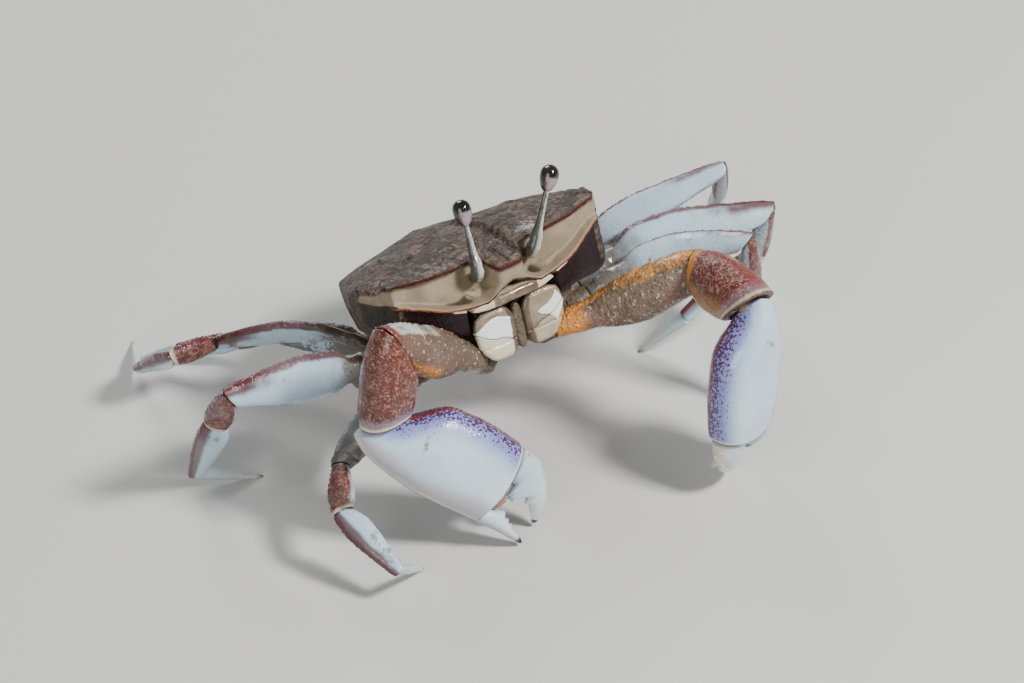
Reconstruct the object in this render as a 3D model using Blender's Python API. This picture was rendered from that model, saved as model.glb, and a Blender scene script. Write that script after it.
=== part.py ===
"""Sentinel crab with eyes on long stalks, standing on its walking legs with both claws lowered.

The crab faces -Y with its left side at +X. It stands on z = 0. Sizes come from the carapace width.
"""
import math

import bmesh
import bpy
from mathutils import Matrix, Vector

# Driving sizes, in metres
MM = 0.001
WIDTH = 26.6 * MM
GAP = 0.3 * MM

# How the body is held: where its middle is, and how far the front and the left side are raised
BODY_PLACE = Vector((-0.45 * MM, 3.68 * MM, 18.8 * MM))
BODY_TURN = math.radians(3)
BODY_PITCH = math.radians(23)
BODY_ROLL = math.radians(3.5)
BODY = (Matrix.Translation(BODY_PLACE) @ Matrix.Rotation(BODY_TURN, 4, "Z")
        @ Matrix.Rotation(-BODY_ROLL, 4, "Y") @ Matrix.Rotation(-BODY_PITCH, 4, "X"))

# Carapace, in carapace widths, by distance x from the middle line: half of each curve
FRONT_MARGIN = [(0, -0.392), (0.042, -0.390), (0.060, -0.370), (0.080, -0.312), (0.155, -0.306),
                (0.20, -0.324), (0.30, -0.320), (0.40, -0.287), (0.432, -0.278), (0.444, -0.236),
                (0.470, -0.212), (0.485, -0.13)]
FACE = [(0, -0.378), (0.07, -0.376), (0.13, -0.358), (0.20, -0.344), (0.30, -0.328), (0.40, -0.295),
        (0.432, -0.282), (0.446, -0.24), (0.470, -0.205), (0.485, -0.12)]
REAR_MARGIN = [(0, 0.36), (0.2, 0.358), (0.30, 0.335), (0.38, 0.26), (0.44, 0.13), (0.47, 0.04),
               (0.485, -0.02)]
FRONT_HEIGHT = [(0, -0.045), (0.05, -0.042), (0.08, -0.008), (0.2, 0.004), (0.35, 0.012), (0.43, 0.018),
                (0.485, 0.0)]
REAR_HEIGHT = [(0, -0.06), (0.30, -0.10), (0.485, -0.05)]
LOWER_MARGIN = [(0, -0.10), (0.06, -0.12), (0.12, -0.150), (0.25, -0.132), (0.38, -0.078), (0.43, -0.058),
                (0.485, -0.05)]
ORBIT_DEPTH = [(0, 0.012), (0.066, 0.012), (0.085, 0.020), (0.160, 0.020), (0.20, 0.036), (0.34, 0.032),
               (0.43, 0.008), (0.485, 0.004)]
UNDERSIDE = [(0, -0.322), (0.11, -0.318), (0.185, -0.268), (0.30, -0.258), (0.36, -0.265), (0.40, -0.262),
             (0.44, -0.24), (0.47, -0.18), (0.485, -0.13)]
CARAPACE_STATIONS = [0, 0.04, 0.062, 0.082, 0.12, 0.158, 0.185, 0.20, 0.22, 0.25, 0.29, 0.33, 0.37, 0.405,
                     0.432, 0.446, 0.470, 0.485]
CROWN = 0.05
MOUTH_HALF_WIDTH = 0.190
MOUTH_RECESS = 0.066

# Where each limb leaves the body, in carapace widths from the middle of the back
HIPS = {1: (0.165, -0.250, -0.390), 2: (0.368, -0.169, -0.368), 3: (0.395, -0.041, -0.357),
        4: (0.383, 0.090, -0.338), 5: (0.331, 0.203, -0.325)}
COXA_RADIUS = {1: 0.046, 2: 0.044, 3: 0.048, 4: 0.046, 5: 0.038}

# Lengths of ischium, merus, carpus, propodus and dactyl of each limb; the first pair carries the claws
LIMB_LENGTHS = {1: (4.6, 10.7, 7.7, 13.0, 4.2), 2: (6.3, 11.8, 5.5, 7.6, 6.2),
                3: (5.9, 13.9, 5.0, 9.4, 6.4), 4: (6.0, 13.1, 5.6, 8.5, 6.1), 5: (4.2, 9.2, 4.2, 5.8, 4.6)}

# Pose of each limb: for each segment the turn from straight out to the side, positive towards the
# rear, and the rise above level, in degrees
POSES = {
    "right_1": ((-21, 42), (-18, 34), (-38, -77), (-152, -29)),
    "left_1": ((-25, 19), (-34, 31), (-81, 2), (-143, -75)),
    "right_2": ((40, -53), (-42, 10), (-64, -13), (-108, -24), (-214, -36)),
    "right_3": ((9, 13), (-11, 15), (86, -65), (87, -66), (196, -13)),
    "right_4": ((45, 32), (51, -28), (-12, 11), (87, -41), (113, -13)),
    "right_5": ((99, -41), (43, -4), (50, -28), (30, -8), (42, -63)),
    "left_2": ((4, 23), (-51, 22), (-58, -84), (184, -87), (183, -85)),
    "left_3": ((-1, 26), (-19, 7), (137, -81), (170, -38), (144, -47)),
    "left_4": ((6, 28), (-16, 23), (62, -63), (78, -66), (59, -62)),
    "left_5": ((0, 7), (-9, 10), (7, -33), (56, -66), (36, -58)),
}
# Turn of each walking leg about its own length, which shows more of its upper edge
LEG_ROLL = {"right_2": 75, "right_3": 0, "right_4": -5, "right_5": 40, "left_2": 30, "left_3": 30,
            "left_4": 48, "left_5": 30}
LEG_SCALE = {2: 0.88, 3: 1.0, 4: 0.76, 5: 0.66}

# Half heights above and below the centre line and half thickness along each segment, in mm for the
# third pair, by fraction of the segment's length
MERUS = [(0, 1.0, 1.0, 0.9), (0.12, 1.1, 1.05, 0.95), (0.26, 1.0, 1.0, 0.8), (0.42, 2.2, 2.1, 0.95),
         (0.62, 2.5, 2.35, 1.0), (0.82, 2.0, 1.9, 0.95), (0.95, 1.45, 1.35, 0.85), (1, 1.15, 1.05, 0.75)]
CARPUS = [(0, 1.0, 0.95, 0.75), (0.3, 1.35, 1.1, 0.95), (0.7, 1.6, 1.3, 1.0), (1, 1.35, 1.1, 0.85)]
PROPODUS = [(0, 1.3, 1.1, 0.85), (0.3, 1.6, 1.45, 0.9), (0.65, 1.45, 1.25, 0.8), (1, 0.85, 0.75, 0.6)]
DACTYL = [(0, 0.75, 0.7, 0.55), (0.35, 0.7, 0.6, 0.5), (0.75, 0.45, 0.4, 0.36), (1, 0.16, 0.16, 0.16)]

# The claw's arm, wrist and hand: half heights above and below the centre line, half thickness
ARM = [(0, 1.1, 1.1, 1.1), (0.18, 1.4, 1.3, 1.25), (0.3, 1.45, 1.4, 1.2), (0.5, 2.0, 2.1, 1.5),
       (0.7, 2.4, 2.5, 1.8), (0.86, 2.4, 2.4, 1.9), (1, 1.9, 1.9, 1.6)]
WRIST = [(0, 1.9, 1.9, 2.0), (0.2, 2.6, 2.3, 2.3), (0.55, 3.0, 2.7, 2.4), (0.85, 2.9, 2.7, 2.4),
         (1, 2.4, 2.4, 2.1)]
HAND = [(0, 1.1, 2.5, 1.5), (1.3, 1.35, 3.7, 2.0), (2.9, 2.55, 4.55, 2.4), (4.3, 3.35, 5.0, 2.6),
        (5.6, 3.6, 5.3, 2.65), (8.0, 3.6, 5.45, 2.6), (10.6, 3.3, 5.5, 2.4), (13.1, 2.75, 5.6, 2.1)]
# The lower part of the hand's far end slants back below this height, by this share of the drop
SLANT_FROM = -1.6
SLANT = 0.35
# Fixed finger: place along the hand before the slant, its upper and lower edge and half thickness, in mm
FIXED_FINGER = [(13.15, -3.95, -5.62, 1.3), (14.2, -3.8, -5.7, 1.25), (15.5, -4.35, -5.75, 1.05),
                (16.9, -5.0, -5.85, 0.8), (17.9, -5.35, -5.95, 0.55), (18.5, -5.7, -6.0, 0.28)]
# Movable finger: centre line from the hand's end along and down, half height and half thickness
FINGER_LINE = [(13.5, 0.75), (14.5, 0.55), (15.7, -0.15), (16.8, -1.1), (17.55, -2.25), (18.2, -3.7)]
FINGER_SIZE = [(1.8, 1.5), (1.8, 1.35), (1.5, 1.15), (1.1, 0.95), (0.72, 0.7), (0.22, 0.25)]
# How far the tips of the fixed and the movable finger bend towards the inner side of the hand
FIXED_BEND = {"right": 0.3, "left": 1.8}
FINGER_BEND = 2.2
# Root, tip and radius of the molar of the movable finger
MOLAR = (14.9, -0.6, 14.5, -2.75, 0.75)
# Share of the hand's way in the plane between wrist and hand, whose rest follows the wrist
RIM_LEAN = {"right": 0.5, "left": 0.8}
# Where the outer face of each hand looks
HAND_FACING = {"right": (-0.39, -0.68, 0.62), "left": (0.46, -0.87, 0.2)}
HAND_SIDES = 18
LIMB_SIDES = 10

# Eyes on stalks, in carapace widths
STALK_ROOT = (0.114, -0.304, -0.064)
STALK_BASE = (0.122, -0.362, -0.026)
EYE_TIPS = {"right": (-0.094, -0.316, 0.195), "left": (0.256, -0.361, 0.195)}
EYE_RADIUS = 0.92 * MM
STALK_SIZES = [(0, 0.68), (0.12, 0.62), (0.3, 0.44), (0.55, 0.34), (0.8, 0.38), (0.93, 0.74), (1, 0.82)]

SKIN = {
    "mud": ((0.16, 0.115, 0.085), 0.55),
    "shell": ((0.20, 0.145, 0.12), 0.4),
    "ivory": ((0.62, 0.56, 0.46), 0.4),
    "blue_white": ((0.55, 0.68, 0.78), 0.3),
    "red_brown": ((0.28, 0.085, 0.06), 0.4),
    "lilac": ((0.45, 0.40, 0.62), 0.35),
    "eye": ((0.005, 0.004, 0.004), 0.08),
}


def clear_scene():
    for obj in list(bpy.data.objects):
        bpy.data.objects.remove(obj, do_unlink=True)


def material(name, skin):
    colour, roughness = SKIN[skin]
    mat = bpy.data.materials.new(name)
    mat.use_nodes = True
    shader = mat.node_tree.nodes["Principled BSDF"]
    shader.inputs["Base Color"].default_value = (*colour, 1.0)
    shader.inputs["Roughness"].default_value = roughness
    shader.inputs["Metallic"].default_value = 0.0
    return mat


def smooth_value(points, t):
    """Value at t of a smooth curve through (t, value...) points, with no overshoot between them."""
    if t <= points[0][0]:
        return points[0][1:]
    if t >= points[-1][0]:
        return points[-1][1:]
    i = max(k for k in range(len(points) - 1) if points[k][0] <= t)
    a, b = points[i], points[i + 1]
    f = (t - a[0]) / (b[0] - a[0])
    result = []
    for k in range(1, len(a)):
        step = b[k] - a[k]
        before = a[k] - points[i - 1][k] if i > 0 else step
        after = points[i + 2][k] - b[k] if i + 2 < len(points) else step
        start = 0.5 * (before + step) if before * step > 0 else 0.0
        end = 0.5 * (after + step) if after * step > 0 else 0.0
        start = math.copysign(min(abs(start), 2 * abs(step)), step) if step else 0.0
        end = math.copysign(min(abs(end), 2 * abs(step)), step) if step else 0.0
        h = f * f * (3 - 2 * f)
        result.append(a[k] + step * h + start * f * (1 - f) ** 2 - end * f * f * (1 - f))
    return tuple(result)


def curve(points, x):
    return smooth_value(points, abs(x))[0]


def new_object(name, bm, skin, smooth=True):
    bmesh.ops.recalc_face_normals(bm, faces=bm.faces)
    mesh = bpy.data.meshes.new(name)
    bm.to_mesh(mesh)
    bm.free()
    if smooth:
        mesh.shade_smooth()
        mesh.set_sharp_from_angle(angle=math.radians(40))
    obj = bpy.data.objects.new(name, mesh)
    bpy.context.collection.objects.link(obj)
    mesh.materials.append(material(name, skin))
    return obj


def loft(rings):
    """Closed body through rings of points, capped with a fan at each end."""
    bm = bmesh.new()
    rows = [[bm.verts.new(p) for p in ring] for ring in rings]
    count = len(rows[0])
    for a, b in zip(rows, rows[1:]):
        for k in range(count):
            n = (k + 1) % count
            bm.faces.new((a[k], a[n], b[n], b[k]))
    for ring, row in ((rings[0], rows[0]), (rings[-1], rows[-1])):
        middle = bm.verts.new(sum((Vector(p) for p in ring), Vector()) / count)
        for k in range(count):
            bm.faces.new((row[k], row[(k + 1) % count], middle))
    return bm


def section(centre, side, up, top, bottom, half, sides, power=2.3):
    """Rounded section with its own height above and below the centre."""
    points = []
    for k in range(sides):
        a = 2 * math.pi * (k + 0.5) / sides
        c, s = math.cos(a), math.sin(a)
        x = math.copysign(abs(c) ** (2 / power), c) * half
        y = math.copysign(abs(s) ** (2 / power), s) * (top if s > 0 else bottom)
        points.append(centre + side * x + up * y)
    return points


def direction(side, turn, rise):
    turn, rise = math.radians(turn), math.radians(rise)
    return Vector((side * math.cos(turn) * math.cos(rise), math.sin(turn) * math.cos(rise), math.sin(rise)))


def limb_joints(name):
    """Joint places and segment directions of one limb, from its hip to its last joint."""
    side = -1 if name.startswith("right") else 1
    number = int(name[-1])
    x, y, z = HIPS[number]
    places = [BODY @ (Vector((side * x, y, z)) * WIDTH)]
    ways = []
    for length, pose in zip(LIMB_LENGTHS[number], POSES[name]):
        way = direction(side, *pose)
        if len(ways) == 4:
            # the toe is turned up or down until its tip meets the floor
            fall = min(places[-1].z / (length * MM), 0.99)
            flat = Vector((way.x, way.y, 0)).normalized()
            way = flat * math.sqrt(1 - fall * fall) - Vector((0, 0, fall))
        ways.append(way)
        places.append(places[-1] + way * length * MM)
    return places, ways


def upper_side(way, outward, roll):
    """The side of a segment that faces up and outwards, turned about the segment by roll."""
    reference = Vector((0, 0, 1)) + outward * 0.7
    up = (reference - way * reference.dot(way)).normalized()
    return Matrix.Rotation(roll, 3, way) @ up


def tube(path, ups, profile, start_cut, end_cut, count, sides, scale=1.0, power=2.3):
    """Rings along a curved path. The end rings lie in the planes start_cut and end_cut (normals)."""
    total = len(path) - 1
    rings = []
    for i in range(count):
        t = i / (count - 1)
        f = t * total
        k = min(int(f), total - 1)
        centre = path[k].lerp(path[k + 1], f - k)
        way = (path[min(k + 1, total)] - path[k]).normalized()
        if 0 < k and f - k < 0.5:
            way = (path[k + 1] - path[k - 1]).normalized()
        up = ups[0].lerp(ups[1], t)
        up = (up - way * up.dot(way)).normalized()
        side = way.cross(up)
        top, bottom, half = (v * scale * MM for v in smooth_value(profile, t))
        ring = section(centre, side, up, top, bottom, half, sides, power)
        for cut, weight in ((start_cut, (1 - t) ** 4), (end_cut, t ** 4)):
            ring = [p - way * ((p - centre).dot(cut) / way.dot(cut)) * weight for p in ring]
        rings.append(ring)
    return rings


def keep_behind(rings, place, normal, way):
    """Push points that pass the plane back along the segment, so that neighbours stay apart."""
    for ring in rings:
        for point in ring:
            beyond = (point - place).dot(normal)
            if beyond > 0:
                point -= way * (beyond / way.dot(normal))


def bezier(start, start_way, end, end_way, count=12):
    reach = (end - start).length
    a, b, c, d = start, start + start_way * reach * 0.3, end - end_way * reach * 0.55, end
    points = []
    for i in range(count + 1):
        t = i / count
        points.append(a * (1 - t) ** 3 + b * 3 * t * (1 - t) ** 2 + c * 3 * t * t * (1 - t) + d * t ** 3)
    return points


def mitre(way_in, way_out):
    """Normal of the plane that halves the bend between two segments."""
    return (way_in + way_out).normalized()


def trimmed(start, end, way_start, way_end, cut_start, cut_end):
    """Both ends of a segment, drawn back from its joints by half the gap."""
    a = start + way_start * (GAP / 2 / max(0.3, way_start.dot(cut_start)))
    b = end - way_end * (GAP / 2 / max(0.3, way_end.dot(cut_end)))
    return a, b


def limb_segment(name, start, end, way_start, way_end, cuts, ups, profile, count, skin, scale=1.0,
                 sides=LIMB_SIDES, power=2.3):
    a, b = trimmed(start, end, way_start, way_end, *cuts)
    path = bezier(a, way_start, b, way_end)
    rings = tube(path, ups, profile, cuts[0], cuts[1], count, sides, scale, power)
    keep_behind(rings, b, cuts[1], way_end)
    keep_behind(rings, a, -cuts[0], -way_start)
    return new_object(name, loft(rings), skin)


def stand_on_floor(obj):
    for vertex in obj.data.vertices:
        vertex.co.z = max(vertex.co.z, 0.0)


def walking_leg(name):
    side, number = name.split("_")
    number = int(number)
    joints, ways = limb_joints(name)
    outward = Vector((-1 if side == "right" else 1, 0, 0))
    roll = math.radians(LEG_ROLL[name]) * (1 if side == "right" else -1)
    scale = LEG_SCALE[number]
    ups = [upper_side(way, outward, roll) for way in ways]
    cuts = [ways[0]] + [mitre(a, b) for a, b in zip(ways[1:], ways[2:])] + [ways[4]]
    base = f"leg_{number}_{side}"
    limb_segment(f"{base}_merus", joints[0], joints[2], ways[0], ways[1], (cuts[0], cuts[1]),
                 (ups[1], ups[1]), MERUS, 10, "blue_white", scale)
    limb_segment(f"{base}_carpus", joints[2], joints[3], ways[2], ways[2], (cuts[1], cuts[2]),
                 (ups[2], ups[2]), CARPUS, 5, "red_brown", scale)
    limb_segment(f"{base}_propodus", joints[3], joints[4], ways[3], ways[3], (cuts[2], cuts[3]),
                 (ups[3], ups[3]), PROPODUS, 6, "blue_white", scale)
    tip = joints[5] + ways[4] * GAP
    toe = limb_segment(f"{base}_dactyl", joints[4], tip, ways[4], ways[4], (cuts[3], cuts[4]),
                       (ups[4], ups[4]), DACTYL, 6, "blue_white", scale, sides=8)
    stand_on_floor(toe)


def hull(name, rings, skin):
    bm = bmesh.new()
    for ring in rings:
        for point in ring:
            bm.verts.new(point)
    found = bmesh.ops.convex_hull(bm, input=bm.verts)
    inside = {e for e in found["geom_interior"] + found["geom_unused"] if isinstance(e, bmesh.types.BMVert)}
    bmesh.ops.delete(bm, geom=list(inside), context="VERTS")
    return new_object(name, bm, skin)


def join(target, pieces):
    """Fuse pieces into target and keep its largest closed surface."""
    group = bpy.data.collections.new(target.name + "_pieces")
    for piece in pieces:
        group.objects.link(piece)
    modifier = target.modifiers.new("fuse", "BOOLEAN")
    modifier.operation = "UNION"
    modifier.operand_type = "COLLECTION"
    modifier.collection = group
    modifier.solver = "EXACT"
    bpy.context.view_layer.update()
    evaluated = target.evaluated_get(bpy.context.evaluated_depsgraph_get())
    mesh = bpy.data.meshes.new_from_object(evaluated)
    target.modifiers.clear()
    target.data = mesh
    for piece in pieces:
        bpy.data.objects.remove(piece, do_unlink=True)
    bpy.data.collections.remove(group)
    keep_largest(target)
    target.data.shade_smooth()
    target.data.set_sharp_from_angle(angle=math.radians(40))
    return target


def keep_largest(obj):
    bm = bmesh.new()
    bm.from_mesh(obj.data)
    bmesh.ops.remove_doubles(bm, verts=bm.verts, dist=0.001 * MM)
    unseen = set(bm.verts)
    pieces = []
    while unseen:
        stack = [unseen.pop()]
        found = {stack[0]}
        while stack:
            for edge in stack.pop().link_edges:
                for vertex in edge.verts:
                    if vertex in unseen:
                        unseen.discard(vertex)
                        found.add(vertex)
                        stack.append(vertex)
        pieces.append(found)
    largest = max(pieces, key=len)
    bmesh.ops.delete(bm, geom=[v for v in bm.verts if v not in largest], context="VERTS")
    bm.to_mesh(obj.data)
    bm.free()


def cone(name, base, tip, base_radius, tip_radius, sides, skin):
    way = (tip - base).normalized()
    side = way.orthogonal().normalized()
    up = way.cross(side)
    rings = [section(base, side, up, base_radius, base_radius, base_radius, sides, 2.0),
             section(tip, side, up, tip_radius, tip_radius, tip_radius, sides, 2.0)]
    return new_object(name, loft(rings), skin)


def claw_frame(side):
    """Joints, ways along the limb, and the hand's way along, up and outer side."""
    joints, ways = limb_joints(f"{side}_1")
    along = ways[3]
    facing = Vector(HAND_FACING[side])
    outer = (facing - along * facing.dot(along)).normalized()
    up = outer.cross(along) if side == "right" else along.cross(outer)
    return joints, ways, along, up.normalized(), outer


def slanted(point, start, along, up, hand_length):
    """The point moved back where the hand's far end slants, below the movable finger."""
    offset = point - start
    share = min(1.0, max(0.0, offset.dot(along) / (hand_length * MM))) ** 6
    drop = max(0.0, SLANT_FROM * MM - offset.dot(up))
    return point - along * drop * SLANT * share


def cheliped(side):
    joints, ways, along, up, outer = claw_frame(side)
    base = f"cheliped_{side}"
    outward = Vector((-1 if side == "right" else 1, 0, 0))
    arm_up = upper_side(ways[1], outward, 0)
    wrist_up = upper_side(ways[2], outward, 0)
    cut_elbow = mitre(ways[1], ways[2])
    cut_wrist = mitre(ways[2], ways[3] * RIM_LEAN[side])
    limb_segment(f"{base}_merus", joints[0], joints[2], ways[0], ways[1], (ways[0], cut_elbow),
                 (arm_up, arm_up), ARM, 9, "red_brown", 1.0, 12)
    limb_segment(f"{base}_carpus", joints[2], joints[3], ways[2], ways[2], (cut_elbow, cut_wrist),
                 (wrist_up, wrist_up), WRIST, 7, "red_brown", 1.0, 14)
    hand_length = HAND[-1][0]
    start = joints[3] + along * (GAP / 2 / max(0.3, along.dot(cut_wrist)))
    rings = []
    count = 11
    for i in range(count):
        t = i / (count - 1)
        top, bottom, half = (v * MM for v in smooth_value(HAND, t * hand_length))
        centre = start + along * t * hand_length * MM
        ring = section(centre, outer, up, top, bottom, half, HAND_SIDES, 2.3)
        weight = (1 - t) ** 5
        ring = [p - along * ((p - centre).dot(cut_wrist) / along.dot(cut_wrist)) * weight for p in ring]
        rings.append(ring)
    keep_behind(rings, start, -cut_wrist, -along)
    for s, high, low, half in FIXED_FINGER:
        middle = 0.5 * (high + low)
        bend = FIXED_BEND[side] * ((s - hand_length) / (FIXED_FINGER[-1][0] - hand_length)) ** 2
        centre = start + (along * s + up * middle - outer * bend) * MM
        rings.append(section(centre, outer, up, 0.5 * (high - low) * MM, 0.5 * (high - low) * MM, half * MM,
                             HAND_SIDES, 2.0))
    rings = [[slanted(p, start, along, up, hand_length) for p in ring] for ring in rings]
    new_object(f"{base}_palm", loft(rings), "blue_white")
    rings = []
    line = [start + (along * s + up * h - outer * FINGER_BEND * (i / (len(FINGER_LINE) - 1)) ** 2) * MM
            for i, (s, h) in enumerate(FINGER_LINE)]
    for i, ((high, half), centre) in enumerate(zip(FINGER_SIZE, line)):
        way = (line[min(i + 1, len(line) - 1)] - line[max(i - 1, 0)]).normalized()
        if i == 0:
            way = along
        bent_up = outer.cross(way) if side == "right" else way.cross(outer)
        rings.append(section(centre, outer, bent_up, high * MM, high * MM, half * MM, 12, 2.0))
    finger = new_object(f"{base}_finger", loft(rings), "ivory")
    root = start + along * MOLAR[0] * MM + up * MOLAR[1] * MM
    tip = start + along * MOLAR[2] * MM + up * MOLAR[3] * MM
    join(finger, [cone("molar", root, tip, MOLAR[4] * MM, MOLAR[4] * 0.6 * MM, 8, "ivory")])


def under(x, y):
    """Height of the carapace's lower face, in widths."""
    share = min(1.0, max(0.0, (y + 0.285) / 0.585))
    return curve(UNDERSIDE, x) * (1 - 0.2 * share)


def back_height(x, y, front, rear):
    v = (y - front) / (rear - front)
    level = curve(FRONT_HEIGHT, x) * (1 - v) + curve(REAR_HEIGHT, x) * v
    crown = CROWN * (1 - (abs(x) / 0.53) ** 2) + 0.006
    lobe = 0.008 * math.exp(-((abs(x) - 0.30) / 0.09) ** 2 - ((y - 0.02) / 0.14) ** 2)
    return level + crown * 4 * v * (1 - v) * (0.75 + 0.5 * (1 - v)) + lobe


def carapace_profile(x):
    """Outline of the carapace at one distance from the middle line, as (y, z) in widths."""
    front, rear = curve(FRONT_MARGIN, x), curve(REAR_MARGIN, x)
    points = []
    rows = 9
    for i in range(rows):
        y = rear + (front - rear) * (i / (rows - 1)) ** 0.85
        points.append((y, back_height(x, y, front, rear)))
    edge = curve(FRONT_HEIGHT, x)
    low = curve(LOWER_MARGIN, x)
    inset = curve(ORBIT_DEPTH, x)
    bottom = under(x, front)
    room = min(1.0, (rear - front) / 0.3)
    lower_front = curve(FACE, x)
    points.append((front + 0.004 * room, edge - 0.014))
    points.append((front + inset * room, edge - 0.022))
    points.append((front + inset * 0.9 * room, low + 0.012))
    points.append((lower_front, low))
    points.append((lower_front + 0.006 * room, low - 0.014))
    recess = MOUTH_RECESS if abs(x) < MOUTH_HALF_WIDTH + 0.004 else 0.0
    for share in (0.10, 0.40, 0.75):
        z = low - 0.014 + (bottom - low + 0.014) * share
        points.append((lower_front + (0.010 + 0.02 * share + recess) * room, z))
    points.append((lower_front + (0.045 + recess) * room, bottom))
    back_low = rear - 0.06 * room
    for share in (0.33, 0.66, 1.0):
        start = lower_front + (0.045 + recess) * room
        y = start + (back_low - start) * share
        points.append((y, under(x, y)))
    points.append((rear - 0.012 * room, 0.5 * (under(x, back_low) + points[0][1])))
    return points


def carapace():
    stations = [-x for x in reversed(CARAPACE_STATIONS[1:])] + CARAPACE_STATIONS
    rings = [[BODY @ (Vector((x, y, z)) * WIDTH) for y, z in carapace_profile(x)] for x in stations]
    return new_object("carapace", loft(rings), "shell")


def thorax():
    half, front, rear, floor = 0.31, -0.205, 0.25, -0.445
    gap = GAP / WIDTH
    rings = []
    steps = 12
    for i in range(steps + 1):
        x = half * (2 * i / steps - 1)
        u = (x / half) ** 2
        low = floor + 0.07 * u
        f, r = front + 0.05 * u, rear - 0.06 * u
        points = [(f, under(x, f) - gap), (f * 0.3 + r * 0.7, under(x, f * 0.3 + r * 0.7) - gap),
                  (r, under(x, r) - gap), (r + 0.004, under(x, r) * 0.5 + low * 0.5),
                  (r - 0.03, low + 0.01), (0.03, low), (f + 0.04, low + 0.008), (f - 0.004, low + 0.035)]
        rings.append([BODY @ (Vector((x, y, z)) * WIDTH) for y, z in points])
    body = new_object("thorax", loft(rings), "mud")
    coxae = []
    for side in (-1, 1):
        for number, (x, y, z) in HIPS.items():
            name = f"{'left' if side > 0 else 'right'}_{number}"
            joints, ways = limb_joints(name)
            root = BODY @ (Vector((side * (x - 0.16 if number > 1 else 0.085), y * 0.62, -0.375)) * WIDTH)
            radius = COXA_RADIUS[number] * WIDTH
            end = joints[0] - ways[0] * GAP / 2
            middle = end - ways[0] * 0.9 * MM
            rings = []
            for place, size, way in ((root, 0.9, middle - root), (middle, 1.0, ways[0]), (end, 0.9, ways[0])):
                way = way.normalized()
                across = way.cross(Vector((0, 0, 1))).normalized()
                up = across.cross(way)
                rings.append(section(place, across, up, radius * size, radius * size, radius * size, 10, 2.0))
            coxae.append(hull(f"coxa_{name}", rings, "mud"))
    return join(body, coxae)


def abdomen():
    """Narrow tail plate folded forward under the breast."""
    gap = GAP / WIDTH
    line = [(-0.10, -0.445), (0.05, -0.448), (0.18, -0.440), (0.262, -0.41), (0.315, -0.345), (0.335, -0.285)]
    widths = [0.035, 0.06, 0.075, 0.09, 0.10, 0.10]
    rings = []
    count = 13
    for i in range(count):
        t = i / (count - 1) * (len(line) - 1)
        k = min(int(t), len(line) - 2)
        f = t - k
        y = line[k][0] * (1 - f) + line[k + 1][0] * f
        z = line[k][1] * (1 - f) + line[k + 1][1] * f
        wide = widths[k] * (1 - f) + widths[k + 1] * f
        way = Vector((0, line[k + 1][0] - line[k][0], line[k + 1][1] - line[k][1])).normalized()
        out = Vector((0, way.z, -way.y))
        groove = 0.85 if i % 2 else 1.0
        centre = Vector((0, y, z)) + out * (0.016 + gap)
        thick = 0.014 * groove
        ring = section(centre, Vector((1, 0, 0)), out, thick, 0.014, wide, 10, 3.0)
        rings.append([BODY @ (p * WIDTH) for p in ring])
    return new_object("abdomen", loft(rings), "mud")


def maxilliped(side):
    """Outer mouthpart: a broad lower plate, a shorter upper one, and a groove between them."""
    s = -1 if side == "right" else 1
    outline = [(-0.392, 0.040, 0.120, 0.5), (-0.380, 0.030, 0.138, 0.9), (-0.342, 0.022, 0.166, 1.0),
               (-0.334, 0.021, 0.168, 0.7), (-0.325, 0.020, 0.176, 1.0), (-0.250, 0.020, 0.184, 1.0),
               (-0.214, 0.035, 0.172, 0.9), (-0.200, 0.055, 0.145, 0.6)]
    rings = []
    for z, inner, outer, thick in outline:
        middle = s * (inner + outer) / 2
        y = -0.338 + (-z - 0.14) * 0.12
        ring = section(Vector((middle, y, z)), Vector((1, 0, 0)), Vector((0, -1, 0)), 0.020 * thick, 0.014,
                       (outer - inner) / 2, 12, 3.0)
        rings.append([BODY @ (p * WIDTH) for p in ring])
    return new_object(f"maxilliped_{side}", loft(rings), "ivory")


def eye(side):
    s = -1 if side == "right" else 1
    x, y, z = STALK_BASE
    base = BODY @ (Vector((s * x, y, z)) * WIDTH)
    tip = BODY @ (Vector(EYE_TIPS[side]) * WIDTH)
    way = (tip - base).normalized()
    across = way.cross(Vector((0, 1, 0))).normalized()
    up = across.cross(way)
    length = (tip - base).length - EYE_RADIUS - GAP
    x, y, z = STALK_ROOT
    root = BODY @ (Vector((s * x, y, z)) * WIDTH)
    forward = BODY.to_3x3() @ Vector((0, -1, 0))
    bend = bezier(root, forward, base + way * length * STALK_SIZES[1][0], way, 5)
    rings = []
    for i, centre in enumerate(bend):
        ahead = (bend[min(i + 1, 5)] - bend[max(i - 1, 0)]).normalized()
        if i == 0:
            ahead = forward
        level = (across - ahead * across.dot(ahead)).normalized()
        radius = STALK_SIZES[min(i, 1)][1] * MM
        rings.append(section(centre, level, level.cross(ahead), radius, radius, radius, 10, 2.0))
    for t, radius in STALK_SIZES[2:]:
        radius *= MM
        rings.append(section(base + way * length * t, across, up, radius, radius, radius, 10, 2.0))
    new_object(f"eyestalk_{side}", loft(rings), "ivory")
    rings = []
    steps = 8
    for i in range(steps + 1):
        a = math.radians(-50) + math.radians(135) * i / steps
        radius = EYE_RADIUS * math.cos(a)
        centre = tip + way * (EYE_RADIUS * math.sin(a))
        rings.append(section(centre, across, up, radius, radius, radius, 14, 2.0))
    lift = (base + way * (length + GAP) - (tip + way * EYE_RADIUS * math.sin(math.radians(-50)))).dot(way)
    rings = [[p + way * max(0.0, lift) for p in ring] for ring in rings]
    new_object(f"eye_{side}", loft(rings), "eye")


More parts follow.
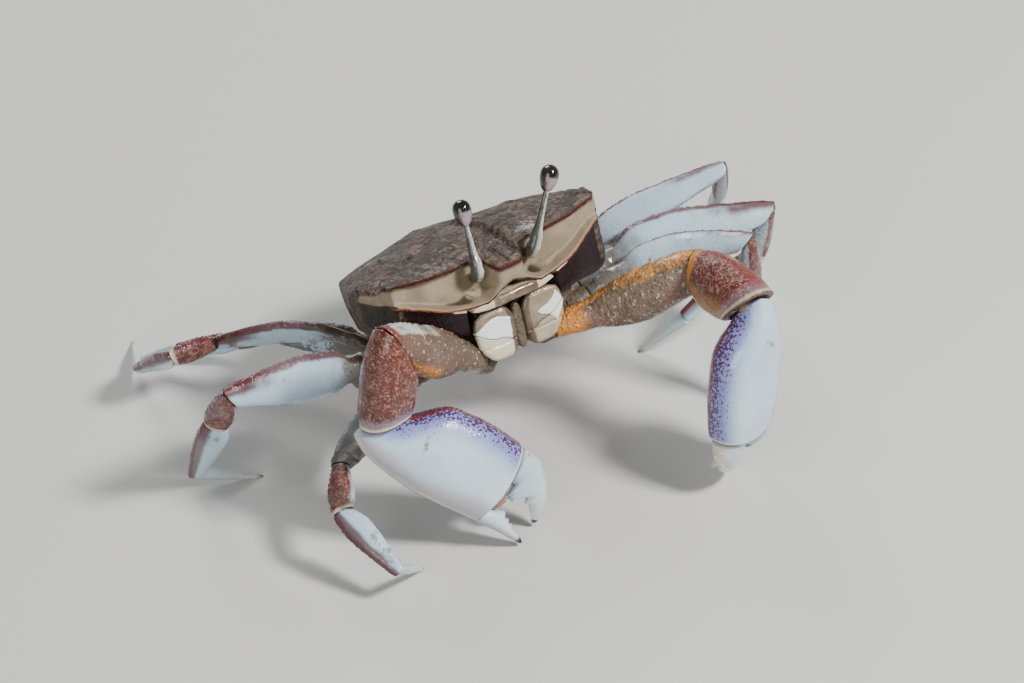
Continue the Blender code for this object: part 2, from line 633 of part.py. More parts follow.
def antenna(side):
    """Short feeler beside the base of the eyestalk."""
    s = -1 if side == "right" else 1
    points = [(0.138, -0.335, -0.112), (0.152, -0.352, -0.108), (0.174, -0.366, -0.095),
              (0.200, -0.376, -0.075)]
    sizes = [0.5, 0.45, 0.35, 0.25]
    rings = []
    line = [BODY @ (Vector((s * x, y, z)) * WIDTH) for x, y, z in points]
    for i, (centre, radius) in enumerate(zip(line, sizes)):
        way = (line[min(i + 1, 3)] - line[max(i - 1, 0)]).normalized()
        across = way.cross(Vector((0, 0, 1))).normalized()
        up = across.cross(way)
        radius *= MM
        rings.append(section(centre, across, up, radius, radius, radius, 8, 2.0))
    new_object(f"antenna_{side}", loft(rings), "shell")


def main():
    clear_scene()
    carapace()
    thorax()
    abdomen()
    for side in ("right", "left"):
        maxilliped(side)
        eye(side)
        antenna(side)
        cheliped(side)
        for number in (2, 3, 4, 5):
            walking_leg(f"{side}_{number}")


main()
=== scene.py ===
"""Looks of a sentinel crab that stands with both claws lowered.

Every solid of the frame is dressed in a finer shell of the same form, with the granules, ridges,
teeth and colours of the living animal. Lengths are in metres unless a name or a table says mm.
"""

import math

import bmesh
import bpy
import numpy as np
from mathutils import Matrix, Vector


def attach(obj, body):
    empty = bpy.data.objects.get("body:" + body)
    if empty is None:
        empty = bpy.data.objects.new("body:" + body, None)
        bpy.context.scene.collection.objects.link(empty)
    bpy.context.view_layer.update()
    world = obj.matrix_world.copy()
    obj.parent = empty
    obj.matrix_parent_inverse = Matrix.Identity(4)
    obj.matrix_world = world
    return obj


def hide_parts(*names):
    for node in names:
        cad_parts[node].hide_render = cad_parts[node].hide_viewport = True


bl_info = {
    "name": "Sentinel crab",
    "version": (1, 0, 0),
    "blender": (4, 5, 0),
    "location": "View3D > Sidebar > Crab",
    "description": "Builds the shells, claws, legs and eyes of a sentinel crab around its solid frame",
    "category": "Add Mesh",
}

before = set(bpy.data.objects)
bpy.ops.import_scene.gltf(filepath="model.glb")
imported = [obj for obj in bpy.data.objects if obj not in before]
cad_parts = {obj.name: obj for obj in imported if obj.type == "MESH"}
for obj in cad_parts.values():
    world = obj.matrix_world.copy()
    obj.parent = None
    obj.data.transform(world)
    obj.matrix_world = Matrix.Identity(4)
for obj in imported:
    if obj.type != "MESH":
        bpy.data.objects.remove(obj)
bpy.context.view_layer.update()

MM = 0.001
WIDTH = 26.6 * MM
GAP = 0.3 * MM
# The two sides, with the direction of each along x
SIDES = {"right": -1, "left": 1}
ACROSS, FORWARD, UPWARD = np.array((1.0, 0, 0)), np.array((0, -1.0, 0)), np.array((0, 0, 1.0))

# How the body is held
BODY = (Matrix.Translation((-0.45 * MM, 3.68 * MM, 18.8 * MM)) @ Matrix.Rotation(math.radians(3), 4, "Z")
        @ Matrix.Rotation(math.radians(-3.5), 4, "Y") @ Matrix.Rotation(math.radians(-23), 4, "X"))
BODY_TURN = np.array(BODY.to_3x3())
BODY_PLACE = np.array(BODY.translation)

# Carapace, in carapace widths, by distance from the middle line
HALF_SPAN = 0.485
FRONT_MARGIN = [(0, -0.392), (0.042, -0.390), (0.060, -0.370), (0.080, -0.312), (0.155, -0.306),
                (0.20, -0.324), (0.30, -0.320), (0.40, -0.287), (0.432, -0.278), (0.444, -0.236),
                (0.470, -0.212), (0.485, -0.13)]
FACE = [(0, -0.378), (0.07, -0.376), (0.13, -0.358), (0.20, -0.344), (0.30, -0.328), (0.40, -0.295),
        (0.432, -0.282), (0.446, -0.24), (0.470, -0.205), (0.485, -0.12)]
REAR_MARGIN = [(0, 0.36), (0.2, 0.358), (0.30, 0.335), (0.38, 0.26), (0.44, 0.13), (0.47, 0.04),
               (0.485, -0.02)]
FRONT_HEIGHT = [(0, -0.045), (0.05, -0.042), (0.08, -0.008), (0.2, 0.004), (0.35, 0.012), (0.43, 0.018),
                (0.485, 0.0)]
REAR_HEIGHT = [(0, -0.06), (0.30, -0.10), (0.485, -0.05)]
LOWER_MARGIN = [(0, -0.10), (0.06, -0.12), (0.12, -0.150), (0.25, -0.132), (0.38, -0.078), (0.43, -0.058),
                (0.485, -0.05)]
ORBIT_DEPTH = [(0, 0.012), (0.066, 0.012), (0.085, 0.020), (0.160, 0.020), (0.20, 0.036), (0.34, 0.032),
               (0.43, 0.008), (0.485, 0.004)]
UNDERSIDE = [(0, -0.322), (0.11, -0.318), (0.185, -0.268), (0.30, -0.258), (0.36, -0.265), (0.40, -0.262),
             (0.44, -0.24), (0.47, -0.18), (0.485, -0.13)]
# Rise of the back between its margins
CROWN = 0.05
# Room for the outer mouthparts: half width and depth, and half width of the ridge over them
MOUTH_HALF_WIDTH = 0.190
MOUTH_RECESS = 0.066
RIDGE_HALF_WIDTH = 0.168

# Where each limb leaves the body, and the radius of its short first segment, in widths
HIPS = {1: (0.165, -0.250, -0.390), 2: (0.368, -0.169, -0.368), 3: (0.395, -0.041, -0.357),
        4: (0.383, 0.090, -0.338), 5: (0.331, 0.203, -0.325)}
COXA_RADIUS = {1: 0.046, 2: 0.044, 3: 0.048, 4: 0.046, 5: 0.038}
# Roots of those segments on the breast: the claws' place from the middle, how far the legs' lie
# inwards of their hips, share of the hips' place along the body, and height
CLAW_COXA_ROOT, LEG_COXA_RUN, COXA_ROOT_SHARE, COXA_ROOT_HEIGHT = 0.085, 0.16, 0.62, -0.375

# Lengths in mm of ischium, merus, carpus, propodus and dactyl
LIMB_LENGTHS = {1: (4.6, 10.7, 7.7, 13.0, 4.2), 2: (6.3, 11.8, 5.5, 7.6, 6.2), 3: (5.9, 13.9, 5.0, 9.4, 6.4),
                4: (6.0, 13.1, 5.6, 8.5, 6.1), 5: (4.2, 9.2, 4.2, 5.8, 4.6)}
# Turn from straight out to the side, towards the rear, and rise of each segment, in degrees
POSES = {
    "right_1": ((-21, 42), (-18, 34), (-38, -77), (-152, -29)),
    "left_1": ((-25, 19), (-34, 31), (-81, 2), (-143, -75)),
    "right_2": ((40, -53), (-42, 10), (-64, -13), (-108, -24), (-214, -36)),
    "right_3": ((9, 13), (-11, 15), (86, -65), (87, -66), (196, -13)),
    "right_4": ((45, 32), (51, -28), (-12, 11), (87, -41), (113, -13)),
    "right_5": ((99, -41), (43, -4), (50, -28), (30, -8), (42, -63)),
    "left_2": ((4, 23), (-51, 22), (-58, -84), (184, -87), (183, -85)),
    "left_3": ((-1, 26), (-19, 7), (137, -81), (170, -38), (144, -47)),
    "left_4": ((6, 28), (-16, 23), (62, -63), (78, -66), (59, -62)),
    "left_5": ((0, 7), (-9, 10), (7, -33), (56, -66), (36, -58)),
}
LEG_ROLL = {"right_2": 75, "right_3": 0, "right_4": -5, "right_5": 40, "left_2": 30, "left_3": 30,
            "left_4": 48, "left_5": 30}
LEG_SCALE = {2: 0.88, 3: 1.0, 4: 0.76, 5: 0.66}
# How much settled mud each leg carries, from 0 to 1; the front right leg lies in shadow, and its high share
# is partly painted shade
LEG_MUD_AND_SHADE = {"right_2": 0.95, "right_3": 0.35, "right_4": 0.55, "right_5": 0.7, "left_2": 0.42, "left_3": 0.3,
           "left_4": 0.25, "left_5": 0.5}
# Thickness in mm of the mud caked on the root of a thigh
THIGH_CAKE = {"right_3": 0.75, "left_2": 0.25, "left_3": 0.2}

# Segment profiles: fraction of the length, half heights above and below the centre line and half
# thickness, in mm; the hand's places are in mm too
MERUS = [(0, 1.0, 1.0, 0.9), (0.12, 1.1, 1.05, 0.95), (0.26, 1.0, 1.0, 0.8), (0.42, 2.2, 2.1, 0.95),
         (0.62, 2.5, 2.35, 1.0), (0.82, 2.0, 1.9, 0.95), (0.95, 1.45, 1.35, 0.85), (1, 1.15, 1.05, 0.75)]
CARPUS = [(0, 1.0, 0.95, 0.75), (0.3, 1.35, 1.1, 0.95), (0.7, 1.6, 1.3, 1.0), (1, 1.35, 1.1, 0.85)]
PROPODUS = [(0, 1.3, 1.1, 0.85), (0.3, 1.6, 1.45, 0.9), (0.65, 1.45, 1.25, 0.8), (1, 0.85, 0.75, 0.6)]
DACTYL = [(0, 0.75, 0.7, 0.55), (0.35, 0.7, 0.6, 0.5), (0.75, 0.45, 0.4, 0.36), (1, 0.16, 0.16, 0.16)]
ARM = [(0, 1.1, 1.1, 1.1), (0.18, 1.4, 1.3, 1.25), (0.3, 1.45, 1.4, 1.2), (0.5, 2.0, 2.1, 1.5),
       (0.7, 2.4, 2.5, 1.8), (0.86, 2.4, 2.4, 1.9), (1, 1.9, 1.9, 1.6)]
WRIST = [(0, 1.9, 1.9, 2.0), (0.2, 2.6, 2.3, 2.3), (0.55, 3.0, 2.7, 2.4), (0.85, 2.9, 2.7, 2.4),
         (1, 2.4, 2.4, 2.1)]
HAND = [(0, 1.1, 2.5, 1.5), (1.3, 1.35, 3.7, 2.0), (2.9, 2.55, 4.55, 2.4), (4.3, 3.35, 5.0, 2.6),
        (5.6, 3.6, 5.3, 2.65), (8.0, 3.6, 5.45, 2.6), (10.6, 3.3, 5.5, 2.4), (13.1, 2.75, 5.6, 2.1)]
# The lower part of the hand's far end slants back below this height, by this share of the drop
SLANT_FROM = -1.6
SLANT = 0.35
# Fixed finger: place along the hand, upper and lower edge and half thickness, in mm
FIXED_FINGER = [(13.15, -3.95, -5.62, 1.3), (14.2, -3.8, -5.7, 1.25), (15.5, -4.35, -5.75, 1.05),
                (16.9, -5.0, -5.85, 0.8), (17.9, -5.35, -5.95, 0.55), (18.5, -5.7, -6.0, 0.28)]
# Movable finger, by fraction: its middle along and up from the hand's start, and half height and
# half thickness, in mm
FINGER_LINE = [(0, 13.5, 0.75), (0.2, 14.5, 0.55), (0.4, 15.7, -0.15), (0.6, 16.8, -1.1), (0.8, 17.55, -2.25),
               (1, 18.2, -3.7)]
FINGER_SIZE = [(0, 1.8, 1.5), (0.2, 1.8, 1.35), (0.4, 1.5, 1.15), (0.6, 1.1, 0.95), (0.8, 0.72, 0.7),
               (1, 0.22, 0.25)]
# How far the tips of the fixed and the movable finger bend towards the hand's inner side, in mm
FIXED_BEND = {"right": 0.3, "left": 1.8}
FINGER_BEND = 2.2
# Teeth of the fixed finger: place along the hand, height and width, in mm
FIXED_TEETH = [(14.9, 0.34, 0.30), (15.7, 0.24, 0.16), (16.3, 0.16, 0.13)]
# Molar of the movable finger: height in mm, and its start and end by fraction of the finger
MOLAR_HEIGHT, MOLAR_START, MOLAR_END = 1.30, 0.25, 0.60
# Share of the hand's way in the plane between wrist and hand, whose rest follows the wrist
RIM_LEAN = {"right": 0.5, "left": 0.8}
# Where the crest of each hand runs, in mm to the outer side of its middle, and how far it reaches
CREST_SHIFT = {"right": 0.5, "left": -1.6}
CREST_REACH = 4.6
# Where the outer face of each hand looks
HAND_FACING = {"right": (-0.39, -0.68, 0.62), "left": (0.46, -0.87, 0.2)}
# Dark dots of the palm, in mm: place along the hand and height of the first, step to the next, radius
DOT_PLACE, DOT_STEP, DOT_RADIUS = (3.3, -0.02), (0.2, -0.54), 0.18
# Soft skin at the root of the fingers, in mm: place along, up and outwards, way along and up,
# radius and half length
GAPE_PLACE, GAPE_WAY, GAPE_RADIUS, GAPE_LENGTH = (12.9, -3.05, 0.7), (0.49, 0.87), 0.62, 1.05
# Radius of the skin in a joint, as a share of the segment's rim: the claws' wrists, and the others
WRIST_SKIN_SHARE, SKIN_SHARE = 0.56, 0.76

# Outer mouthpart: height, inner and outer edge, in widths, and share of its thickness
JAW_OUTLINE = [(-0.392, 0.040, 0.120, 0.5), (-0.380, 0.030, 0.138, 0.9), (-0.342, 0.022, 0.166, 1.0),
               (-0.334, 0.021, 0.168, 0.62), (-0.325, 0.020, 0.176, 1.0), (-0.250, 0.020, 0.184, 1.0),
               (-0.214, 0.035, 0.172, 0.9), (-0.200, 0.055, 0.145, 0.6)]
# Corners of its white plate: share from the inner edge (-1) to the outer edge (1), and height in widths
JAW_PLATES = {"right": [(-0.62, -0.245), (0.0, -0.222), (1.1, -0.258), (0.9, -0.275), (-0.5, -0.333)],
              "left": [(0.6, -0.222), (1.0, -0.270), (0.4, -0.335), (-0.2, -0.273)]}
JAW_PLATE_HALF_WIDTH = 0.08
# Tail plate: fraction, place along the body, height and half width, in widths
TAIL_LINE = [(0, -0.10, -0.445, 0.035), (0.2, 0.05, -0.448, 0.06), (0.4, 0.18, -0.440, 0.075),
             (0.6, 0.262, -0.41, 0.09), (0.8, 0.315, -0.345, 0.10), (1, 0.335, -0.285, 0.10)]
# Feeler: fraction, place in widths and radius in mm
FEELER_LINE = [(0, 0.138, -0.335, -0.112, 0.5), (0.33, 0.152, -0.352, -0.108, 0.45),
               (0.66, 0.174, -0.366, -0.095, 0.3), (1, 0.200, -0.376, -0.075, 0.10)]

# Eyestalk: root inside the orbit, base of the straight part and middle of the eye, in widths, and
# the stalk's radius by fraction, in mm
STALK_ROOT = (0.114, -0.304, -0.064)
STALK_BASE = (0.122, -0.362, -0.026)
EYE_TIPS = {"right": (-0.094, -0.316, 0.195), "left": (0.256, -0.361, 0.195)}
EYE_RADIUS = 0.92 * MM
STALK_SIZES = [(0, 0.68), (0.12, 0.62), (0.3, 0.42), (0.55, 0.31), (0.8, 0.27), (0.93, 0.26), (1, 0.3)]

# Weight of the clear coat where the water film lies
COAT_SHARE = 0.6

# Camera: turn and height of the view, distance, focal length in pixels, and where the middle of
# the back falls in the picture
VIEW_TURN = math.radians(-30)
VIEW_HEIGHT = math.radians(38)
VIEW_DISTANCE = 1.0
FOCAL_PIXELS = 10450
PICTURE = (1024, 683)
BACK_PIXEL = (455.15, 233.12)


# ---- curves and surfaces

def unit(v):
    return v / np.linalg.norm(v)


def smooth_value(points, t):
    """Values at t of a smooth curve through (t, value...) points, with no overshoot."""
    if t <= points[0][0]:
        return np.array(points[0][1:], float)
    if t >= points[-1][0]:
        return np.array(points[-1][1:], float)
    i = max(k for k in range(len(points) - 1) if points[k][0] <= t)
    a, b = np.array(points[i], float), np.array(points[i + 1], float)
    f = (t - a[0]) / (b[0] - a[0])
    step = b[1:] - a[1:]
    before = a[1:] - np.array(points[i - 1][1:], float) if i > 0 else step
    after = np.array(points[i + 2][1:], float) - b[1:] if i + 2 < len(points) else step
    start = np.where(before * step > 0, 0.5 * (before + step), 0)
    end = np.where(after * step > 0, 0.5 * (after + step), 0)
    limit = 2 * np.abs(step)
    start, end = np.clip(start, -limit, limit), np.clip(end, -limit, limit)
    h = f * f * (3 - 2 * f)
    return a[1:] + step * h + start * f * (1 - f) ** 2 - end * f * f * (1 - f)


def curve(points, x):
    """The same for an array of places, one value each."""
    flat = np.abs(np.atleast_1d(x)).ravel()
    return np.array([smooth_value(points, t)[0] for t in flat]).reshape(np.shape(x))


def step_between(low, high, x):
    f = np.clip((x - low) / (high - low), 0, 1)
    return f * f * (3 - 2 * f)


def hill(x, width):
    return np.exp(-(x / width) ** 2)


def on_body(points):
    """Points in carapace widths from the middle of the back, as places in the frame."""
    return (np.asarray(points) * WIDTH) @ BODY_TURN.T + BODY_PLACE


def scatter_value(cell, seed):
    h = np.sin(cell[..., 0] * 127.1 + cell[..., 1] * 311.7 + cell[..., 2] * 74.7 + seed * 19.19) * 43758.5453
    return h - np.floor(h)


def soft_noise(points, size, seed):
    """Smooth random heights from -1 to 1 with features of the given size."""
    p = points / size
    cell = np.floor(p)
    f = p - cell
    f = f * f * (3 - 2 * f)
    total = np.zeros(len(points))
    for corner in np.ndindex(2, 2, 2):
        weight = np.prod(np.where(corner, f, 1 - f), axis=1)
        total += weight * scatter_value(cell + corner, seed)
    return 2 * total - 1


def pebbles(points, size, seed, fill=0.62):
    """Heights from 0 to 1 of round granules scattered at the given spacing."""
    p = points / size
    cell = np.floor(p)
    best = np.zeros(len(points))
    for offset in np.ndindex(3, 3, 3):
        near = cell + np.array(offset) - 1
        seat = near + 0.5 + 0.7 * (np.stack([scatter_value(near, seed + k) for k in (1, 2, 3)], -1) - 0.5)
        radius = fill * (0.6 + 0.4 * scatter_value(near, seed + 4))
        d = np.linalg.norm(p - seat, axis=1) / radius
        best = np.maximum(best, np.clip(1 - d * d, 0, None))
    return np.sqrt(best)


def make_piece(name, rings, values, material, relief=None):
    """Closed mesh through rings of points, with named values on its points and a raised relief."""
    rings = np.asarray(rings, float)
    n, m = rings.shape[:2]
    ends = np.array([rings[0].mean(0), rings[-1].mean(0)])
    points = np.vstack([rings.reshape(-1, 3), ends])
    i, k = np.meshgrid(np.arange(n - 1), np.arange(m), indexing="ij")
    nxt = (k + 1) % m
    faces = np.stack([i * m + k, i * m + nxt, (i + 1) * m + nxt, (i + 1) * m + k], -1).reshape(-1, 4).tolist()
    for row, centre in ((0, n * m), (n - 1, n * m + 1)):
        faces += [(row * m + j, row * m + (j + 1) % m, centre) for j in range(m)]
    mesh = bpy.data.meshes.new(name)
    mesh.from_pydata(points.tolist(), [], faces)
    bm = bmesh.new()
    bm.from_mesh(mesh)
    bmesh.ops.recalc_face_normals(bm, faces=bm.faces)
    bm.to_mesh(mesh)
    bm.free()
    full = {}
    for key, value in values.items():
        value = np.broadcast_to(value, (n, m))
        full[key] = np.concatenate([value.ravel(), [value[0].mean(), value[-1].mean()]])
        mesh.attributes.new(key, "FLOAT", "POINT").data.foreach_set("value", full[key].astype(np.float32))
    if relief is not None:
        normals = np.zeros(len(points) * 3, np.float32)
        mesh.vertex_normals.foreach_get("vector", normals)
        points = points + normals.reshape(-1, 3) * relief(points, full)[:, None]
        mesh.vertices.foreach_set("co", points.astype(np.float32).ravel())
    mesh.shade_smooth()
    mesh.update()
    obj = bpy.data.objects.new(name, mesh)
    bpy.context.scene.collection.objects.link(obj)
    mesh.materials.append(material)
    return obj


def dress(obj, slot, *nodes):
    """The piece stands for these solids, which it hides, and hangs from the root. The slot is not used."""
    if nodes:
        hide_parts(*nodes)
    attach(obj, "root")


def rounded_section(sides, power):
    """Across and up shares of a rounded section."""
    a = 2 * np.pi * (np.arange(sides) + 0.5) / sides
    c, s = np.cos(a), np.sin(a)
    return (np.sign(c) * np.abs(c) ** (2 / power), np.sign(s) * np.abs(s) ** (2 / power), c, s)


def section(centre, side, up, top, bottom, half, shape):
    across, high = shape[:2]
    return centre + side * (across * half)[:, None] + up * (high * np.where(high > 0, top, bottom))[:, None]


def disc(centre, side, up, radius, shape):
    return section(centre, side, up, radius, radius, radius, shape)


def dome(centre, way, side, up, radius, length, limit, count, shape, root=1.0):
    """Rings of an egg shape of this half length along way, which is root times as long behind."""
    rings = []
    for turn in np.radians(np.linspace(-limit, limit, count)):
        reach = length * (1 if turn > 0 else root) * math.sin(turn)
        rings.append(disc(centre + way * reach, side, up, radius * math.cos(turn), shape))
    return rings


def narrowed(ring, way, steps):
    """Smaller copies of a ring, each shifted along way: steps of size and shift in mm."""
    middle = ring.mean(0)
    return [middle + (ring - middle) * size + way * shift * MM for size, shift in steps]


def slope_at(points, t, reach):
    return smooth_value(points, min(1, t + reach)) - smooth_value(points, max(0, t - reach))


def level_frame(way, reference=(0, 0, 1)):
    """Side and upper directions of a section that crosses way."""
    side = unit(np.cross(way, reference))
    return side, np.cross(side, way)


def softened(loop, reach, spread):
    """A closed outline with its corners rounded over this many points to each side."""
    kernel = np.exp(-np.linspace(-spread, spread, 2 * reach + 1) ** 2)
    kernel /= kernel.sum()
    padded = np.concatenate([loop[-reach:], loop, loop[:reach]])
    return np.stack([np.convolve(padded[:, k], kernel, "valid") for k in range(2)], -1)


def uneven(size, height, seed):
    """Relief of soft waves, in mm."""
    return lambda points, values: soft_noise(points, size * MM, seed) * height * MM


def crusted(size, height, spacing, grain, seed):
    """Relief of soft waves with granules over them, in mm."""
    def relief(points, values):
        grains = pebbles(points, spacing * MM, seed + 1) * grain
        return (soft_noise(points, size * MM, seed) * height + grains) * MM
    return relief


# ---- limbs

def direction(side, turn, rise):
    turn, rise = math.radians(turn), math.radians(rise)
    return np.array((side * math.cos(turn) * math.cos(rise), math.sin(turn) * math.cos(rise), math.sin(rise)))


def limb_joints(name):
    """Places of a limb's joints and directions of its segments; a leg's toe ends on the floor."""
    side, number = SIDES[name[:-2]], int(name[-1])
    x, y, z = HIPS[number]
    places = [on_body((side * x, y, z))]
    ways = []
    for length, pose in zip(LIMB_LENGTHS[number], POSES[name]):
        way = direction(side, *pose)
        if len(ways) == 4:
            fall = min(places[-1][2] / (length * MM), 0.99)
            way = unit(np.array((way[0], way[1], 0))) * math.sqrt(1 - fall * fall) - np.array((0, 0, fall))
        ways.append(way)
        places.append(places[-1] + way * length * MM)
    return places, ways


def turned(v, axis, angle):
    return (v * math.cos(angle) + np.cross(axis, v) * math.sin(angle)
            + axis * np.dot(axis, v) * (1 - math.cos(angle)))


def upper_side(way, side, roll):
    """The side of a segment that faces up and outwards, turned about the segment by roll."""
    reference = np.array((0.7 * side, 0, 1))
    return turned(unit(reference - way * reference.dot(way)), way, roll)


def mitre(way_in, way_out):
    return unit(way_in + way_out)


def bend_point(a, b, way_a, way_b, t):
    """Place and direction on the curve that leaves a along way_a and reaches b along way_b."""
    reach = np.linalg.norm(b - a)
    p = (a, a + way_a * reach * 0.3, b - way_b * reach * 0.55, b)
    s = 1 - t
    place = p[0] * s ** 3 + p[1] * 3 * t * s * s + p[2] * 3 * t * t * s + p[3] * t ** 3
    slope = (p[1] - p[0]) * s * s + (p[2] - p[1]) * 2 * t * s + (p[3] - p[2]) * t * t
    return place, unit(slope)


# Rings that close a segment's root and its far end: size, and shift along the segment in mm
ROOT_STEPS = ((0.88, 0.08), (0.78, 0.30))
SOCKET_STEPS = ((0.95, -0.04), (0.86, 0.02), (0.80, 0.30))


def segment_rings(start, end, way_start, way_end, cuts, up, profile, count, shape, scale=1.0, socket=True):
    """Rings of one limb segment: a narrow root inside the segment before it, and a rim with a socket."""
    a = start + way_start * (GAP / 2 / max(0.3, way_start.dot(cuts[0])))
    b = end - way_end * (GAP / 2 / max(0.3, way_end.dot(cuts[1])))
    rings, along = [], []
    for i in range(count):
        t = i / (count - 1)
        centre, way = bend_point(a, b, way_start, way_end, t)
        up_here = unit(up - way * up.dot(way))
        side = np.cross(way, up_here)
        top, bottom, half = smooth_value(profile, t) * scale * MM
        ring = section(centre, side, up_here, top, bottom, half, shape)
        for cut, weight in ((cuts[0], (1 - t) ** 4), (cuts[1], t ** 4)):
            ring = ring - np.outer((ring - centre) @ cut / way.dot(cut) * weight, way)
        for place, normal, back in ((b, cuts[1], way_end), (a, -cuts[0], -way_start)):
            beyond = np.maximum((ring - place) @ normal, 0)
            ring = ring - np.outer(beyond / back.dot(normal), back)
        rings.append(ring)
        along.append(t)
    rings = narrowed(rings[0], -way_start, ROOT_STEPS)[::-1] + rings
    along = [0.0] * len(ROOT_STEPS) + along
    if socket:
        rings += narrowed(rings[-1], -way_end, SOCKET_STEPS)
        along += [1.0] * len(SOCKET_STEPS)
    return np.array(rings), np.array(along)


def limb_values(along, shape):
    """Values that finishes read: place along a piece, and how far a point faces up and outwards."""
    return {"along": along[:, None], "upper": shape[3][None, :], "outer": shape[2][None, :]}


def margin_relief(height, beads, size, seed, lower=0.0, ripple=0.02):
    """Granules on the upper (and lower) edge of a segment over a faintly uneven shell."""
    def relief(points, values):
        edge = step_between(0.86, 0.99, values["upper"]) + lower * step_between(0.90, 0.99, -values["upper"])
        inside = step_between(0.0, 0.04, values["along"]) * step_between(0.0, 0.03, 1 - values["along"])
        grains = pebbles(points, size * MM, seed)
        lumps = soft_noise(points, 1.3 * MM, seed + 9) * ripple
        return (height * edge * (1 - beads + beads * 2 * grains) * inside + lumps * inside) * MM
    return relief


# ---- shader effects that several finishes share

def new_group(name, inputs, outputs):
    tree = bpy.data.node_groups.new(name, "ShaderNodeTree")
    for label, value in inputs:
        socket = tree.interface.new_socket(label, in_out="INPUT", socket_type="NodeSocketFloat")
        socket.default_value = value
    for label in outputs:
        tree.interface.new_socket(label, in_out="OUTPUT", socket_type="NodeSocketFloat")
    return tree, tree.nodes.new("NodeGroupInput"), tree.nodes.new("NodeGroupOutput")


def feed(tree, socket, item):
    """Links another socket to this one, or sets it to a constant."""
    if isinstance(item, bpy.types.NodeSocket):
        tree.links.new(item, socket)
    else:
        socket.default_value = item


def add_noise(tree, scale, detail, warp=0.0):
    coords = tree.nodes.new("ShaderNodeTexCoord")
    noise = tree.nodes.new("ShaderNodeTexNoise")
    tree.links.new(coords.outputs["Object"], noise.inputs["Vector"])
    for label, item in (("Scale", scale), ("Detail", detail), ("Distortion", warp)):
        feed(tree, noise.inputs[label], item)
    return noise.outputs["Fac"]


def add_math(tree, operation, a, b=0.0, c=0.0):
    node = tree.nodes.new("ShaderNodeMath")
    node.operation = operation
    for socket, item in zip(node.inputs, (a, b, c)):
        feed(tree, socket, item)
    return node.outputs[0]


def add_step(tree, value, low, high, start=0.0, end=1.0):
    node = tree.nodes.new("ShaderNodeMapRange")
    node.interpolation_type = "SMOOTHSTEP"
    for label, item in (("Value", value), ("From Min", low), ("From Max", high), ("To Min", start),
                        ("To Max", end)):
        feed(tree, node.inputs[label], item)
    return node.outputs["Result"]


def build_speckle():
    """Small dark flecks, denser where Coverage is high."""
    tree, source, target = new_group("speckle", (("Coverage", 0.5), ("Scale", 2500.0)), ("Mask",))
    noise = add_noise(tree, source.outputs["Scale"], 1.5)
    threshold = add_math(tree, "MULTIPLY_ADD", source.outputs["Coverage"], -0.5, 0.80)
    high = add_math(tree, "ADD", threshold, 0.05)
    tree.links.new(add_step(tree, noise, threshold, high), target.inputs["Mask"])


def build_veins():
    """Winding thin lines."""
    tree, source, target = new_group("veins", (("Width", 0.03), ("Scale", 1200.0)), ("Mask",))
    noise = add_noise(tree, source.outputs["Scale"], 3.0, 0.6)
    off = add_math(tree, "ABSOLUTE", add_math(tree, "SUBTRACT", noise, 0.5))
    wide = add_math(tree, "MULTIPLY", source.outputs["Width"], 2.2)
    tree.links.new(add_step(tree, off, source.outputs["Width"], wide, 1.0, 0.0), target.inputs["Mask"])


def build_mottle():
    """Cloudy patches of two tones."""
    tree, source, target = new_group("mottle", (("Scale", 300.0), ("Contrast", 0.2)), ("Mask",))
    noise = add_noise(tree, source.outputs["Scale"], 6.0, 0.3)
    low = add_math(tree, "SUBTRACT", 0.5, source.outputs["Contrast"])
    high = add_math(tree, "ADD", 0.5, source.outputs["Contrast"])
    tree.links.new(add_step(tree, noise, low, high), target.inputs["Mask"])


def build_mud():
    """Settled silt: Amount is how much of the surface it covers."""
    tree, source, target = new_group("mud_film", (("Amount", 0.5),), ("Mask", "Height"))
    coarse = add_noise(tree, 420.0, 5.0, 0.4)
    fine = add_noise(tree, 3200.0, 3.0)
    mixed = add_math(tree, "MULTIPLY_ADD", fine, 0.25, add_math(tree, "MULTIPLY", coarse, 0.75))
    edge = add_math(tree, "MULTIPLY_ADD", source.outputs["Amount"], -0.62, 0.80)
    mask = add_step(tree, mixed, edge, add_math(tree, "ADD", edge, 0.10))
    tree.links.new(mask, target.inputs["Mask"])
    tree.links.new(add_math(tree, "MULTIPLY", mask, fine), target.inputs["Height"])


def build_grain():
    """Fine granules of the shell, as a height."""
    tree, source, target = new_group("shell_grain", (("Scale", 3000.0), ("Roughness", 0.3)), ("Height",))
    coords = tree.nodes.new("ShaderNodeTexCoord")
    cells = tree.nodes.new("ShaderNodeTexVoronoi")
    tree.links.new(coords.outputs["Object"], cells.inputs["Vector"])
    tree.links.new(source.outputs["Scale"], cells.inputs["Scale"])
    dome = add_step(tree, cells.outputs["Distance"], 0.0, 0.6, 1.0, 0.0)
    noise = add_noise(tree, 9000.0, 2.0)
    total = add_math(tree, "MULTIPLY_ADD", noise, source.outputs["Roughness"], dome)
    tree.links.new(total, target.inputs["Height"])


def build_wetness():
    """Water film: where it lies the surface is smooth and has a clear coat."""
    tree, source, target = new_group(
        "water_film", (("Dry roughness", 0.5), ("Wet roughness", 0.2), ("Amount", 0.5)),
        ("Roughness", "Coat"))
    noise = add_noise(tree, 260.0, 4.0, 0.5)
    edge = add_math(tree, "MULTIPLY_ADD", source.outputs["Amount"], -0.5, 0.75)
    mask = add_step(tree, noise, edge, add_math(tree, "ADD", edge, 0.14))
    span = add_math(tree, "SUBTRACT", source.outputs["Wet roughness"], source.outputs["Dry roughness"])
    tree.links.new(add_math(tree, "MULTIPLY_ADD", mask, span, source.outputs["Dry roughness"]),
                   target.inputs["Roughness"])
    tree.links.new(mask, target.inputs["Coat"])


def build_effects():
    """Makes each group once; the finishes place them with their own values."""
    for build in (build_speckle, build_veins, build_mottle, build_mud, build_grain, build_wetness):
        build()


